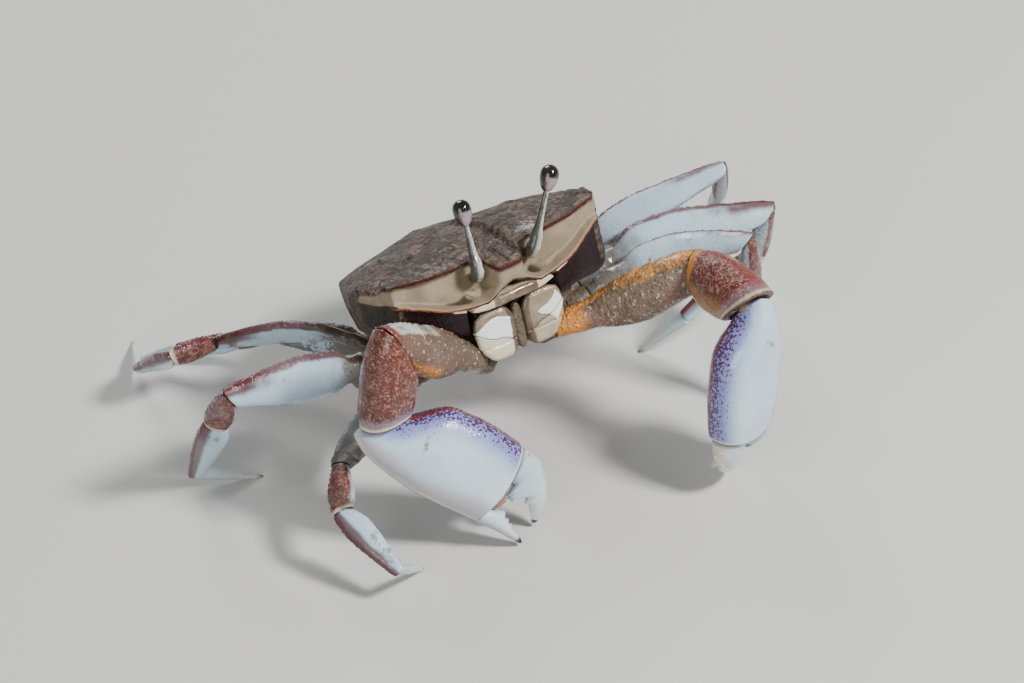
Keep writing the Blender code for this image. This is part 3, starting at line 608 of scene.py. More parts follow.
class Finish:
    """Lays out the nodes of one finish: colour layers, a water film and a relief.

    Scales are features per metre, and each colour is one of the panel's, by its name.
    """

    def __init__(self, name, ground):
        self.material = bpy.data.materials.new(name)
        self.material.use_nodes = True
        self.tree = self.material.node_tree
        self.shader = self.tree.nodes["Principled BSDF"]
        self.colour = self.paint(ground)
        self.heights = []

    def paint(self, name):
        return (*getattr(bpy.context.scene.crab_colours, name), 1.0)

    def value(self, name):
        node = self.tree.nodes.new("ShaderNodeAttribute")
        node.attribute_name = name
        return node.outputs["Fac"]

    def effect(self, name, output="Mask", **inputs):
        node = self.tree.nodes.new("ShaderNodeGroup")
        node.node_tree = bpy.data.node_groups[name]
        for label, item in inputs.items():
            feed(self.tree, node.inputs[label.replace("_", " ")], item)
        return node.outputs[output]

    def mottle(self, scale, contrast):
        return self.effect("mottle", Scale=scale, Contrast=contrast)

    def veins(self, scale, width):
        return self.effect("veins", Scale=scale, Width=width)

    def speckle(self, coverage, scale):
        return self.effect("speckle", Coverage=coverage, Scale=scale)

    def mud(self, amount, output="Mask"):
        return self.effect("mud_film", output, Amount=amount)

    def times(self, a, b):
        return add_math(self.tree, "MULTIPLY", a, b)

    def between(self, name, low, high, start=0.0, end=1.0):
        """A mask that rises from low to high of a named value."""
        return add_step(self.tree, self.value(name), low, high, start, end)

    def ragged(self, name, low, high, scale=700, reach=0.3):
        """The same with an uneven edge."""
        wobble = add_math(self.tree, "SUBTRACT", add_noise(self.tree, scale, 4.0), 0.5)
        moved = add_math(self.tree, "MULTIPLY_ADD", wobble, reach, self.value(name))
        return add_step(self.tree, moved, low, high)

    def layer(self, colour, mask, *shares):
        """Lays a colour over the others where the mask, times each share, lets it."""
        for share in shares:
            mask = self.times(mask, share)
        node = self.tree.nodes.new("ShaderNodeMix")
        node.data_type = "RGBA"
        node.clamp_factor = True
        for place, item in ((0, mask), (6, self.colour), (7, self.paint(colour))):
            feed(self.tree, node.inputs[place], item)
        self.colour = node.outputs[2]

    def raise_by(self, height, share=1.0):
        self.heights.append(self.times(height, share))

    def grain(self, scale, share=1.0, roughness=0.3):
        self.raise_by(self.effect("shell_grain", "Height", Scale=scale, Roughness=roughness), share)

    def done(self, dry, wet, water, depth, coat_roughness=0.08, shine=0.5):
        """Links the colour, the water film and the relief, whose depth is in mm."""
        film = self.effect("water_film", "Roughness", Dry_roughness=dry, Wet_roughness=wet, Amount=water)
        total = self.heights[0]
        for height in self.heights[1:]:
            total = add_math(self.tree, "ADD", total, height)
        bump = self.tree.nodes.new("ShaderNodeBump")
        bump.inputs["Strength"].default_value = 1.0
        bump.inputs["Distance"].default_value = depth * MM
        self.tree.links.new(total, bump.inputs["Height"])
        for label, item in (("Base Color", self.colour), ("Roughness", film),
                            ("Coat Weight", self.times(film.node.outputs["Coat"], COAT_SHARE)),
                            ("Coat Roughness", coat_roughness), ("Specular IOR Level", shine),
                            ("Normal", bump.outputs["Normal"])):
            feed(self.tree, self.shader.inputs[label], item)
        return self.material


# ---- finishes

def carapace_finish():
    f = Finish("carapace_shell", "back_brown")
    f.layer("back_dark", f.mottle(210, 0.09), 0.7)
    f.layer("back_pale", f.mottle(640, 0.06), 0.45)
    f.layer("vein_dark", f.veins(620, 0.030), 0.85)
    f.layer("vein_dark", f.veins(1500, 0.036), 0.6)
    f.layer("wall_beige", f.value("wall"))
    f.layer("wall_shade", f.mottle(420, 0.15), f.times(f.value("wall"), 0.55))
    f.layer("band_black", f.ragged("band", 0.35, 0.65, 500, 0.25))
    # Painted shade: the side wall below each front corner is olive black, its muddy colour darkened as if in
    # shade
    f.layer("side_mud_and_shade", f.ragged("side", 0.35, 0.65, 500, 0.3), 0.9)
    f.layer("cream", f.ragged("cream", 0.4, 0.6, 800, 0.25))
    f.layer("crimson", f.ragged("margin", 0.35, 0.62, 1500, 0.35))
    f.layer("orange", f.ragged("lip", 0.42, 0.66, 1200, 0.3))
    f.layer("crimson", f.ragged("lip", 0.34, 0.62, 1500, 0.3), f.value("middle"))
    f.layer("mud", f.mud(f.value("muddy")), 0.7)
    f.grain(3400, add_math(f.tree, "SUBTRACT", 1.0, f.times(f.value("wall"), 0.8)), 0.5)
    return f.done(dry=0.5, wet=0.24, water=0.25, depth=0.05, shine=0.35)


def breast_finish(name="breast_shell"):
    f = Finish(name, "back_brown")
    f.layer("wall_beige", f.mottle(300, 0.15), 0.7)
    f.layer("mud", f.mud(0.75), 0.85)
    f.raise_by(f.mud(0.6, "Height"), 1.5)
    f.grain(2600, 0.6)
    return f.done(dry=0.6, wet=0.25, water=0.5, depth=0.08)


def jaw_finish(side, lower):
    f = Finish(f"jaw_{side}_shell", "wall_beige")
    f.layer("back_brown", f.mottle(500, 0.14), 0.6)
    f.layer("back_dark", f.ragged("inner", 0.4, 0.7, 700, 0.4), 0.6)
    f.layer("cream", f.ragged("lower", 0.45, 0.6, 900, 0.2), lower)
    f.layer("white", f.ragged("patch", 0.45, 0.6, 900, 0.2))
    f.layer("band_black", f.ragged("seam", 0.4, 0.7, 900, 0.3), 0.8)
    f.grain(4200, 0.4)
    return f.done(dry=0.4, wet=0.15, water=0.6, depth=0.04)


def ridge_finish():
    f = Finish("mouth_ridge_shell", "back_brown")
    f.layer("wall_beige", f.mottle(420, 0.1), 0.8)
    f.layer("cream", f.ragged("upper", 0.70, 0.9, 900, 0.3), 0.7)
    f.layer("mud", f.mud(0.5), 0.7)
    f.layer("cream", f.ragged("ends", 0.4, 0.6, 900, 0.4), 0.9)
    f.grain(3800, 0.5)
    return f.done(dry=0.4, wet=0.12, water=0.7, depth=0.04)


def stalk_finish():
    f = Finish("stalk_shell", "stalk_grey")
    # Painted highlight: the side of each stalk towards the key light is whitened
    f.layer("white", f.ragged("outer", 0.0, -0.5, 900, 0.5), 0.5)
    # Painted shade: the side of each stalk away from the key light is darkened, the same way on both stalks
    f.layer("dark_flecks_and_stalk_shade", f.between("outer", 0.10, 0.50), 0.92)
    f.layer("dark_flecks_and_stalk_shade", f.speckle(0.42, 2600), 0.55)
    f.layer("stalk_pink", f.ragged("along", 0.82, 0.90, 900, 0.04))
    f.grain(5200, 0.4)
    return f.done(dry=0.35, wet=0.12, water=0.7, depth=0.03)


def cornea_finish():
    f = Finish("cornea", "eye_black")
    f.layer("eye_brown", f.mottle(900, 0.2), 0.7)
    f.layer("stalk_pink", f.ragged("along", 0.48, 0.42, 900, 0.04), 0.92)
    f.layer("eye_brown", f.between("outer", 0.5, 0.9), 0.9)
    f.layer("dark_flecks_and_stalk_shade", f.speckle(0.3, 3400), 0.4)
    f.grain(12000, 1.0, 0.0)
    return f.done(dry=0.10, wet=0.05, water=1.0, depth=0.004, coat_roughness=0.02)


def arm_finish(side):
    f = Finish(f"arm_{side}_shell", "arm_pink")
    f.layer("back_brown", f.mottle(500, 0.12), 0.75)
    if side == "left":
        f.layer("wall_shade", f.between("upper", -0.3, 0.3), f.ragged("along", 0.4, 0.5, 500, 0.2))
        f.layer("orange_skin", f.ragged("along", 0.30, 0.16, 500, 0.12))
        f.layer("orange_skin", f.ragged("upper", 0.55, 0.75, 900, 0.3), 0.95)
        f.layer("orange_skin", f.ragged("upper", 0.25, 0.65, 700, 0.3),
                f.ragged("along", 0.55, 0.8, 500, 0.2))
    else:
        f.layer("mud", f.ragged("along", 0.75, 0.45, 500, 0.3), 0.6)
        f.layer("orange_skin", f.ragged("upper", -0.45, -0.8, 600, 0.2),
                f.ragged("along", 0.66, 0.80, 500, 0.12))
        f.layer("pale_green", f.ragged("upper", 0.45, 0.62, 900, 0.15),
                f.ragged("along", 0.68, 0.76, 900, 0.05))
        f.layer("crest_red", f.ragged("upper", 0.2, 0.5, 900, 0.15),
                f.ragged("along", 0.955, 0.975, 900, 0.02))
    f.layer("mud", f.mud(0.5), 0.7)
    f.layer("cream", f.speckle(0.36, 2600), 0.5)
    f.grain(2600, 1.0, 0.6)
    return f.done(dry=0.5, wet=0.15, water=0.55, depth=0.09)


def wrist_finish(side):
    f = Finish(f"wrist_{side}_shell", "wrist_red")
    right = side == "right"
    if right:
        f.layer("wrist_purple", f.ragged("along", 0.45, 0.75, 500, 0.3), 0.75)
    else:
        f.layer("wrist_purple", f.mottle(300, 0.1))
    f.layer("wrist_pale", f.veins(2300, 0.040), 0.75)
    f.layer("wrist_dark", f.veins(2100, 0.045), 0.8)
    f.layer("wrist_dark", f.speckle(0.5, 2600), 0.6)
    if not right:
        f.layer("orange_skin", f.ragged("along", 0.20, 0.08, 600, 0.15), 0.9)
        f.layer("crest_red", f.ragged("upper", 0.75, 0.92, 700, 0.3), 0.45)
        f.layer("wall_shade", f.ragged("upper", 0.0, -0.5, 600, 0.3), 0.75)
        f.layer("orange_skin", f.ragged("upper", -0.1, -0.5, 600, 0.5), 0.25)
    f.layer("lilac_white", f.ragged("along", 0.86, 0.95, 900, 0.08), 0.45 if right else 0.2)
    f.layer("cream", f.ragged("along", 0.955, 0.975, 900, 0.02), 0.9 if right else 0.5)
    f.layer("wrist_dark", f.between("along", 0.985, 0.995), 0.9)
    f.grain(3000)
    return f.done(dry=0.42, wet=0.12, water=0.6, depth=0.05)


def hand_finish(side):
    f = Finish(f"hand_{side}_shell", "hand_white")
    f.layer("hand_blue", f.mottle(160, 0.2), 0.6)
    f.layer("hand_grey", f.ragged("upper", -0.45, -0.85, 260, 0.35), 0.8)
    f.layer("cream", f.ragged("upper", -0.94, -0.99, 500, 0.1), 0.6)
    f.layer("hand_blue", f.ragged("crest", 0.10, 0.40, 500, 0.12), 0.8)
    f.layer("lilac", f.ragged("crest", 0.28, 0.58, 500, 0.12), 0.9)
    f.layer("speckle_purple", f.speckle(f.between("crest", 0.25, 0.85, 0.16, 0.74), 4000),
            f.between("crest", 0.20, 0.36))
    f.layer("crest_red", f.ragged("crest", 0.86, 0.92, 900, 0.14), 0.85)
    f.layer("crest_orange", f.speckle(0.4, 2400), f.ragged("crest", 0.88, 0.95))
    f.layer("dark_flecks_and_stalk_shade", f.value("dots"))
    f.layer("tip_brown", f.between("tip", 0.35, 0.85))
    f.layer("gape_red", f.value("gape"), 0.85)
    f.grain(2600, f.between("crest", 0.2, 1.0, 0.06, 1.0))
    return f.done(dry=0.32, wet=0.12, water=0.7, depth=0.04)


def finger_finish():
    f = Finish("finger_shell", "hand_white")
    f.layer("ivory", f.mottle(300, 0.2), 0.5)
    f.layer("hand_blue", f.ragged("along", 0.65, 0.25, 500, 0.3), 0.5)
    f.layer("cream", f.ragged("upper", 0.72, 0.9, 800, 0.3), 0.8)
    f.layer("back_brown", f.speckle(0.3, 1400), 0.5, f.ragged("upper", 0.6, 0.85, 800, 0.3))
    f.layer("wall_beige", f.ragged("along", 0.06, 0.0, 700, 0.05), 0.6)
    # tip: the dark finger tip, and painted shade in the notches beside the molar
    f.layer("tip_brown", f.ragged("tip", 0.45, 0.75, 900, 0.25))
    f.grain(4200, 0.4, 0.2)
    return f.done(dry=0.3, wet=0.1, water=0.7, depth=0.03)


def thigh_finish(leg):
    # Partly painted shade: a leg in shadow, the front right one most, takes a heavier mud film
    mud = LEG_MUD_AND_SHADE[leg]
    f = Finish(f"thigh_{leg}_shell", "leg_white")
    f.layer("hand_blue", f.mottle(180, 0.2), 0.55)
    f.layer("leg_red", f.ragged("upper", 0.74, 0.90, 900, 0.25), 0.9)
    f.layer("leg_red", f.ragged("along", 0.72, 0.92, 700, 0.25),
            f.ragged("upper", 0.1, 0.6, 700, 0.3), 0.9)
    f.layer("wall_beige", f.ragged("upper", -0.88, -0.97, 600, 0.2), 0.6)
    f.layer("mud", f.ragged("along", 0.52, 0.26, 500, 0.22), 0.9)
    f.layer("mud", f.mud(mud * 0.9), 0.85)
    f.layer("speckle_purple", f.speckle(0.12, 1500), 0.5)
    f.raise_by(f.mud(0.4 + 0.5 * mud, "Height"), 0.4)
    f.grain(3400, 0.35)
    return f.done(dry=0.42, wet=0.14, water=0.6, depth=0.05)


def shin_finish(leg, purple):
    f = Finish(f"shin_{leg}_shell", "leg_red")
    f.layer("wrist_purple", purple)
    f.layer("wrist_pale", f.veins(1300, 0.03), 0.5)
    f.layer("wrist_dark", f.veins(1600, 0.05), 0.6)
    f.layer("leg_white", f.ragged("upper", -0.62, -0.9, 500, 0.3), 0.6)
    f.layer("leg_red", f.ragged("upper", 0.80, 0.95, 900, 0.2), 0.8)
    f.layer("cream", f.ragged("along", 0.94, 0.98, 900, 0.05), 0.7)
    f.layer("mud", f.mud(0.15 + 0.4 * LEG_MUD_AND_SHADE[leg]), 0.7)
    f.grain(3000, 0.8, 0.4)
    return f.done(dry=0.45, wet=0.12, water=0.65, depth=0.05)


def foot_finish(leg, red):
    f = Finish(f"foot_{leg}_shell", "leg_white")
    f.layer("hand_blue", f.mottle(200, 0.2), 0.6)
    f.layer("wrist_purple", f.ragged("upper", 0.15, 0.5, 500, 0.35), red)
    f.layer("wrist_purple", f.ragged("upper", 0.45, 0.85, 700, 0.3), 0.6)
    f.layer("leg_red", f.ragged("upper", 0.85, 0.97, 900, 0.2), 0.85)
    f.layer("speckle_purple", f.speckle(0.2, 1900), 0.35)
    f.layer("mud", f.mud(0.2 + 0.25 * LEG_MUD_AND_SHADE[leg]), 0.6)
    f.grain(3600, 0.4)
    return f.done(dry=0.38, wet=0.12, water=0.65, depth=0.04)


def toe_finish():
    f = Finish("toe_shell", "leg_white")
    f.layer("ivory", f.ragged("along", 0.3, 0.8, 500, 0.2), 0.6)
    f.layer("wall_beige", f.mottle(500, 0.15), 0.3)
    f.layer("tip_brown", f.between("along", 0.90, 1.0), 0.8)
    f.grain(4200, 0.4)
    return f.done(dry=0.38, wet=0.12, water=0.6, depth=0.03)


def skin_finish(name, ground):
    f = Finish(name, ground)
    f.layer("wall_beige", f.mottle(700, 0.15), 0.6)
    f.layer("mud", f.mud(0.35), 0.5)
    f.raise_by(f.mottle(2600, 0.3))
    return f.done(dry=0.4, wet=0.12, water=0.8, depth=0.05)


# ---- body pieces

def under(x, y):
    """Height of the underside, in widths, which rises towards the rear."""
    share = np.clip((y + 0.285) / 0.585, 0, 1)
    return curve(UNDERSIDE, x) * (1 - 0.2 * share)


def back_relief(x, y):
    """Grooves and lobes of the back, in widths, by place."""
    u = np.abs(x)
    cervical = hill(y - (0.06 - 0.60 * u), 0.018) * step_between(0.05, 0.12, u)
    lateral = hill(y - (0.17 - 0.5 * u), 0.016) * step_between(0.22, 0.30, u)
    cardiac = hill(u - 0.11, 0.012) * step_between(0.07, 0.11, y) * step_between(0.0, 0.06, 0.31 - y)
    saddle = hill(y - 0.085, 0.012) * step_between(0, 0.03, 0.12 - u)
    furrow = hill(u, 0.010) * step_between(0, 0.06, -0.22 - y)
    lobes = 0.008 * hill(np.hypot(u - 0.12, y + 0.16), 0.07)
    lobes = lobes + 0.006 * (hill(np.hypot(u, y - 0.01), 0.07) + hill(np.hypot(u, y - 0.18), 0.07))
    lobes = lobes + 0.005 * hill(np.hypot(u - 0.38, y + 0.14), 0.05)
    lobes = lobes + 0.006 * hill(np.hypot(u - 0.30, (y - 0.12) * 0.7), 0.08)
    ridges = (0.005 * hill(u - 0.27 - 0.15 * y, 0.008) * step_between(0.02, 0.06, y)
              * step_between(0, 0.06, 0.26 - y))
    grooves = 0.010 * cervical + 0.006 * lateral + 0.006 * cardiac + 0.005 * saddle + 0.008 * furrow
    return lobes + ridges - grooves


def back_height(x, y, front, rear):
    """Height of the back, in widths, between its front and rear margins."""
    v = (y - front) / (rear - front)
    level = curve(FRONT_HEIGHT, x) * (1 - v) + curve(REAR_HEIGHT, x) * v
    crown = CROWN * (1 - (np.abs(x) / 0.53) ** 2) + 0.006
    lobe = 0.008 * np.exp(-((np.abs(x) - 0.30) / 0.09) ** 2 - ((y - 0.02) / 0.14) ** 2)
    fade = step_between(0, 0.05, v) * step_between(0, 0.06, 1 - v)
    return level + crown * 4 * v * (1 - v) * (0.75 + 0.5 * (1 - v)) + lobe + back_relief(x, y) * fade


def carapace_outline(x):
    """Dense outline of the carapace at one distance from the middle: (y, z, zone) rows, in widths.

    The zone runs 0-1 over the back, 1-2 down the orbit's wall, 2-3 over the lower margin, 3-4 down
    the cheek, 4-5 along the underside and 5-6 up the rear.
    """
    front, rear = curve(FRONT_MARGIN, x), curve(REAR_MARGIN, x)
    room = min(1.0, (rear - front) / 0.3)
    edge, low, inset, face = (curve(p, x) for p in (FRONT_HEIGHT, LOWER_MARGIN, ORBIT_DEPTH, FACE))
    bottom = under(x, front)
    share = (np.linspace(0, 1, 150)) ** 0.85
    y = rear + (front - rear) * share
    rows = [np.stack([y, back_height(np.full_like(y, x), y, front, rear), share], -1)]
    recess = MOUTH_RECESS if abs(x) < MOUTH_HALF_WIDTH + 0.004 else 0.0
    corner = [(front + 0.004 * room, edge - 0.014, 1.15), (front + inset * room, edge - 0.022, 1.3),
              (front + inset * 0.9 * room, low + 0.012, 1.85), (face, low, 2.2),
              (face + 0.006 * room, low - 0.014, 2.8)]
    for s in (0.10, 0.40, 0.75):
        corner.append((face + (0.010 + 0.02 * s + recess) * room,
                       low - 0.014 + (bottom - low + 0.014) * s, 3 + s * 0.9))
    start = face + (0.045 + recess) * room
    back_low = rear - 0.06 * room
    corner.append((start, bottom, 4.0))
    for s in (0.33, 0.66, 1.0):
        at = start + (back_low - start) * s
        corner.append((at, under(x, at), 4 + s * 0.9))
    first = rows[0][0]
    corner.append((rear - 0.012 * room, 0.5 * (under(x, back_low) + first[1]), 5.5))
    corner.append((first[0], first[1], 6.0))
    line = np.array([rows[0][-1]] + corner, float)
    length = np.concatenate([[0], np.cumsum(np.hypot(*np.diff(line[:, :2], axis=0).T))])
    weight = length + 0.35 * line[:, 2] / 6
    spots = np.linspace(0, weight[-1], 190)[1:-1]
    rows.append(np.stack([np.interp(spots, weight, line[:, k]) for k in range(3)], -1))
    outline = np.concatenate(rows)
    return np.column_stack([softened(outline[:, :2], 3, 1.6), outline[:, 2]])


def build_carapace():
    crowding = 1.25
    stations = np.sin(np.linspace(-1, 1, 341) * crowding) / math.sin(crowding) * HALF_SPAN
    outlines = np.array([carapace_outline(x) for x in stations])
    x = np.repeat(stations[:, None], outlines.shape[1], 1)
    y, z, zone = outlines[..., 0], outlines[..., 1], outlines[..., 2]
    u = np.abs(x)
    orbit = np.maximum(step_between(0.17, 0.20, u), step_between(0.0, 0.012, 0.072 - u))
    values = {
        "margin": step_between(0.984, 0.994, zone) * step_between(0, 0.04, 1.12 - zone) * orbit
        * step_between(0, 0.02, 0.435 - u),
        "lip": hill(zone - 2.52, 0.17) * step_between(0.05, 0.09, u) * step_between(0, 0.02, 0.45 - u),
        "middle": step_between(0, 0.12, 0.27 - u),
        "wall": step_between(1.1, 1.3, zone) * step_between(0, 0.2, 2.5 - zone),
        "band": step_between(2.72, 2.85, zone) * step_between(0, 0.5, 4.6 - zone)
        * step_between(0.14, 0.17, u) * step_between(0, 0.03, 0.42 - u),
        "cream": step_between(2.62, 2.75, zone) * step_between(0.088, 0.10, u)
        * step_between(0, 0.03, 0.26 - u) * step_between(0, 0.012, z + 0.205 - 0.30 * (u - 0.09))
        * step_between(0, 0.3, 4.2 - zone),
        # side: the side wall below the front corners, darkened by mud and painted shade
        "side": step_between(2.0, 2.2, zone) * step_between(0, 0.4, 4.3 - zone)
        * step_between(0.415, 0.435, u),
        "muddy": 0.15 + 0.35 * step_between(4.2, 4.8, zone),
    }
    rings = on_body(np.stack([x, y, z], -1))

    def relief(points, v):
        size = bpy.context.scene.crab_relief
        back = 1 - v["wall"]
        grains = pebbles(points, size.back_granule_spacing, 3) * back * (1 - 0.8 * v["band"])
        beads = pebbles(points, size.margin_bead_spacing, 5)
        edge = np.maximum(v["margin"], 0.8 * v["lip"])
        return (grains * size.back_granule_height + beads * edge * size.margin_bead_height
                + soft_noise(points, 2.2 * MM, 7) * 0.03 * MM)

    dress(make_piece("carapace_shell", rings, values, carapace_finish(), relief), "shell", "carapace")


def build_breast():
    """Floor of the body between the hips, in widths."""
    half, front, rear, floor = 0.31, -0.205, 0.25, -0.445
    gap = 0.1 * MM / WIDTH
    rings, spans = [], np.linspace(-1, 1, 81)
    for s in spans:
        x, u = half * s, s * s
        low, f, r = floor + 0.07 * u, front + 0.05 * u, rear - 0.06 * u
        ys = np.array([f, f * 0.3 + r * 0.7, r, r + 0.004, r - 0.03, 0.03, f + 0.04, f - 0.004])
        tops = under(np.full(8, x), ys) - gap
        zs = np.array([tops[0], tops[1], tops[2], tops[2] * 0.5 + low * 0.5, low + 0.01, low, low + 0.008,
                       low + 0.035])
        loop = np.append(np.arange(8), 8)
        spots = np.linspace(0, 8, 97)[:-1]
        outline = np.stack([np.interp(spots, loop, np.append(v, v[0])) for v in (ys, zs)], -1)
        outline = softened(outline, 4, 1.8)
        rings.append(on_body(np.column_stack([np.full(len(outline), x), outline])))
    dress(make_piece("breast_shell", rings, {}, breast_finish(), crusted(1.6, 0.10, 0.8, 0.06, 21)), "mud",
          "thorax")


def build_coxae():
    """Short first segment of each limb, from the breast to the hip."""
    shape = rounded_section(32, 2.0)
    finish = breast_finish("coxa_shell")
    for side, sign in SIDES.items():
        for number, (x, y, z) in HIPS.items():
            joints, ways = limb_joints(f"{side}_{number}")
            root_x = x - LEG_COXA_RUN if number > 1 else CLAW_COXA_ROOT
            root = on_body((sign * root_x, y * COXA_ROOT_SHARE, COXA_ROOT_HEIGHT))
            radius = COXA_RADIUS[number] * WIDTH
            end = joints[0] - ways[0] * GAP * 0.3
            rings = []
            for t in np.linspace(0, 1, 22):
                place, way = bend_point(root, end, unit(end - root), ways[0], t)
                size = radius * (0.9 + 0.16 * math.sin(math.pi * t ** 1.5))
                rings.append(disc(place, *level_frame(way), size, shape))
            rings += narrowed(rings[-1], -ways[0], ((0.86, 0.0), (0.8, 0.3)))
            dress(make_piece(f"coxa_{number}_{side}", rings, {}, finish, crusted(0.9, 0.08, 0.55, 0.05, 31)),
                  "mud")


def build_tail_plate():
    """Narrow jointed plate folded under the breast."""
    gap = 0.15 * MM / WIDTH
    shape = rounded_section(40, 3.0)
    rings = []
    for t in np.linspace(0, 1, 90):
        y, z, wide = smooth_value(TAIL_LINE, t)
        ahead = slope_at(TAIL_LINE, t, 0.02)
        way = unit(np.array((0, ahead[0], ahead[1])))
        out = np.array((0, way[2], -way[1]))
        groove = 1 - 0.35 * hill((t * 6) % 1 - 0.5, 0.10)
        centre = np.array((0, y, z)) + out * (0.016 + gap)
        rings.append(on_body(section(centre, ACROSS, out, 0.014 * groove, 0.014, wide, shape)))
    dress(make_piece("tail_plate", rings, {}, breast_finish("tail_shell"), uneven(0.9, 0.04, 41)), "mud",
          "abdomen")


def mouth_plane(front, z):
    """Place along the body of the mouthparts, whose plane leans back as it rises."""
    return front + (-z - 0.14) * 0.12


def build_jaw(side):
    """Outer mouthpart: a broad lower plate and a shorter upper one."""
    s = SIDES[side]
    shape = rounded_section(72, 3.4)
    zs = np.linspace(JAW_OUTLINE[0][0], JAW_OUTLINE[-1][0], 110)
    rings = []
    for z in zs:
        inner, outer, thick = smooth_value(JAW_OUTLINE, z)
        centre = np.array((s * (inner + outer) / 2, mouth_plane(-0.338, z), z))
        half = (outer - inner) / 2
        rings.append(on_body(section(centre, ACROSS, FORWARD, 0.020 * thick, 0.014, half, shape)))
    across = shape[2][None, :] * s
    corners = JAW_PLATES[side]
    wide = JAW_PLATE_HALF_WIDTH
    plate = np.ones((len(zs), across.shape[1]))
    for (x0, z0), (x1, z1) in zip(corners, corners[1:] + corners[:1]):
        edge = np.array(((z1 - z0), -(x1 - x0) * wide))
        apart = (across - x0) * wide * edge[0] + (zs[:, None] - z0) * edge[1]
        apart = apart / np.hypot(*(edge * (wide, 1)))
        plate = np.minimum(plate, step_between(-0.004, 0.004, apart))
    plate = plate * (shape[3] > -0.2)[None, :]
    low_edge = -0.333 + 0.044 * (across + 0.6)
    values = {
        "patch": plate,
        "lower": step_between(-0.56, -0.40, across) * step_between(0, 0.004, low_edge - 0.004 - zs[:, None]),
        "seam": np.maximum(hill(zs[:, None] - low_edge, 0.003), 0.7 * hill(plate - 0.35, 0.2)),
        "inner": step_between(0, 0.25, -0.45 - across),
    }
    grains = crusted(0.8, 0.03, 0.4, 0.015, 51)

    def relief(points, v):
        return grains(points, v) + (0.10 * v["patch"] + 0.05 * v["lower"] - 0.05 * v["seam"]) * MM

    dress(make_piece(f"jaw_{side}", rings, values, jaw_finish(side, 0.9 if side == "right" else 0.3),
                     relief), "ivory", f"maxilliped_{side}")


def build_mouth_frame():
    """Soft field between the mouthparts, and the ridge above them under the front lobe."""
    shape = rounded_section(40, 3.0)
    zs = np.linspace(-0.388, -0.212, 60)
    rings = []
    for z in zs:
        half = 0.022 * math.sqrt(max(0.05, 1 - ((z + 0.300) / 0.09) ** 4))
        centre = np.array((0, mouth_plane(-0.325, z), z))
        rings.append(on_body(section(centre, ACROSS, FORWARD, 0.017, 0.014, half, shape)))
    soft = uneven(0.5, 0.04, 53)
    dress(make_piece("mouth_field", rings, {}, breast_finish("mouth_skin"), soft), "mud")
    rings = []
    xs = np.linspace(-RIDGE_HALF_WIDTH, RIDGE_HALF_WIDTH, 90)
    for x in xs:
        u = abs(x)
        centre = np.array((x, float(curve(FACE, x)) + 0.044, -0.166 - 0.3 * u * u))
        tall = 0.024 * math.sqrt(max(0.04, 1 - (u / RIDGE_HALF_WIDTH) ** 4))
        rings.append(on_body(section(centre, -FORWARD, UPWARD, tall, tall, 0.038, shape)))
    values = {"upper": shape[3][None, :], "ends": step_between(0.085, 0.10, np.abs(xs))[:, None]}
    dress(make_piece("mouth_ridge", rings, values, ridge_finish(), soft), "ivory")


def build_eye(side):
    """Long eyestalk, which bends out of the orbit, and the eye at its end."""
    s = SIDES[side]
    base, tip = on_body(STALK_BASE * np.array((s, 1, 1))), on_body(EYE_TIPS[side])
    way = unit(tip - base)
    across = unit(np.cross(way, (0, 1, 0)))
    up = np.cross(across, way)
    length = np.linalg.norm(tip - base) - EYE_RADIUS + 0.12 * MM
    root = on_body(STALK_ROOT * np.array((s, 1, 1)))
    bent, thick = STALK_SIZES[1]
    shape = rounded_section(36, 2.0)
    rings, ts = [], []
    for t in np.linspace(0, 1, 26):
        place, ahead = bend_point(root, base + way * length * bent, BODY_TURN @ FORWARD, way, t)
        level = unit(across - ahead * across.dot(ahead))
        radius = thick * MM * (1 + 0.10 * hill(t - 0.72, 0.10) - 0.08 * hill(t - 0.9, 0.06))
        rings.append(disc(place, level, np.cross(level, ahead), radius, shape))
        ts.append(bent * t)
    for t in np.linspace(bent + 0.015, 1, 60):
        rings.append(disc(base + way * length * t, across, up, smooth_value(STALK_SIZES, t)[0] * MM, shape))
        ts.append(t)
    dress(make_piece(f"stalk_{side}", rings, limb_values(np.array(ts), shape), stalk_finish(),
                     uneven(0.5, 0.025, 61)), "ivory", f"eyestalk_{side}")
    shape = rounded_section(40, 2.0)
    rings = dome(tip, way, across, up, EYE_RADIUS, EYE_RADIUS, 89, 48, shape, 1.9)
    values = limb_values(np.linspace(0, 1, len(rings)), shape)
    dress(make_piece(f"cornea_{side}", rings, values, cornea_finish()), "eye", f"eye_{side}")


def build_feeler(side):
    """Short feeler beside the root of the eyestalk."""
    s = SIDES[side]
    shape = rounded_section(20, 2.0)
    rings = []
    for t in np.linspace(0, 1, 60):
        x, y, z, radius = smooth_value(FEELER_LINE, t)
        ahead = slope_at(FEELER_LINE, t, 0.03)
        way = BODY_TURN @ unit(np.array((s * ahead[0], ahead[1], ahead[2])))
        radius *= MM * (1 - 0.10 * hill((t * 9) % 1 - 0.5, 0.15))
        rings.append(disc(on_body((s * x, y, z)), *level_frame(way), radius, shape))
    dress(make_piece(f"feeler_{side}", rings, {}, skin_finish(f"feeler_{side}_skin", "wall_beige")), "shell",
          f"antenna_{side}")


# ---- claws and legs

def hand_axes(side):
    """The hand's own directions, the plane between it and the wrist, and where it starts."""
    joints, ways = limb_joints(f"{side}_1")
    along = ways[3]
    facing = np.array(HAND_FACING[side])
    outer = unit(facing - along * facing.dot(along))
    up = np.cross(outer, along) if side == "right" else np.cross(along, outer)
    cut = mitre(ways[2], ways[3] * RIM_LEAN[side])
    start = joints[3] + along * (GAP / 2 / max(0.3, along.dot(cut)))
    return along, unit(up), outer, cut, start


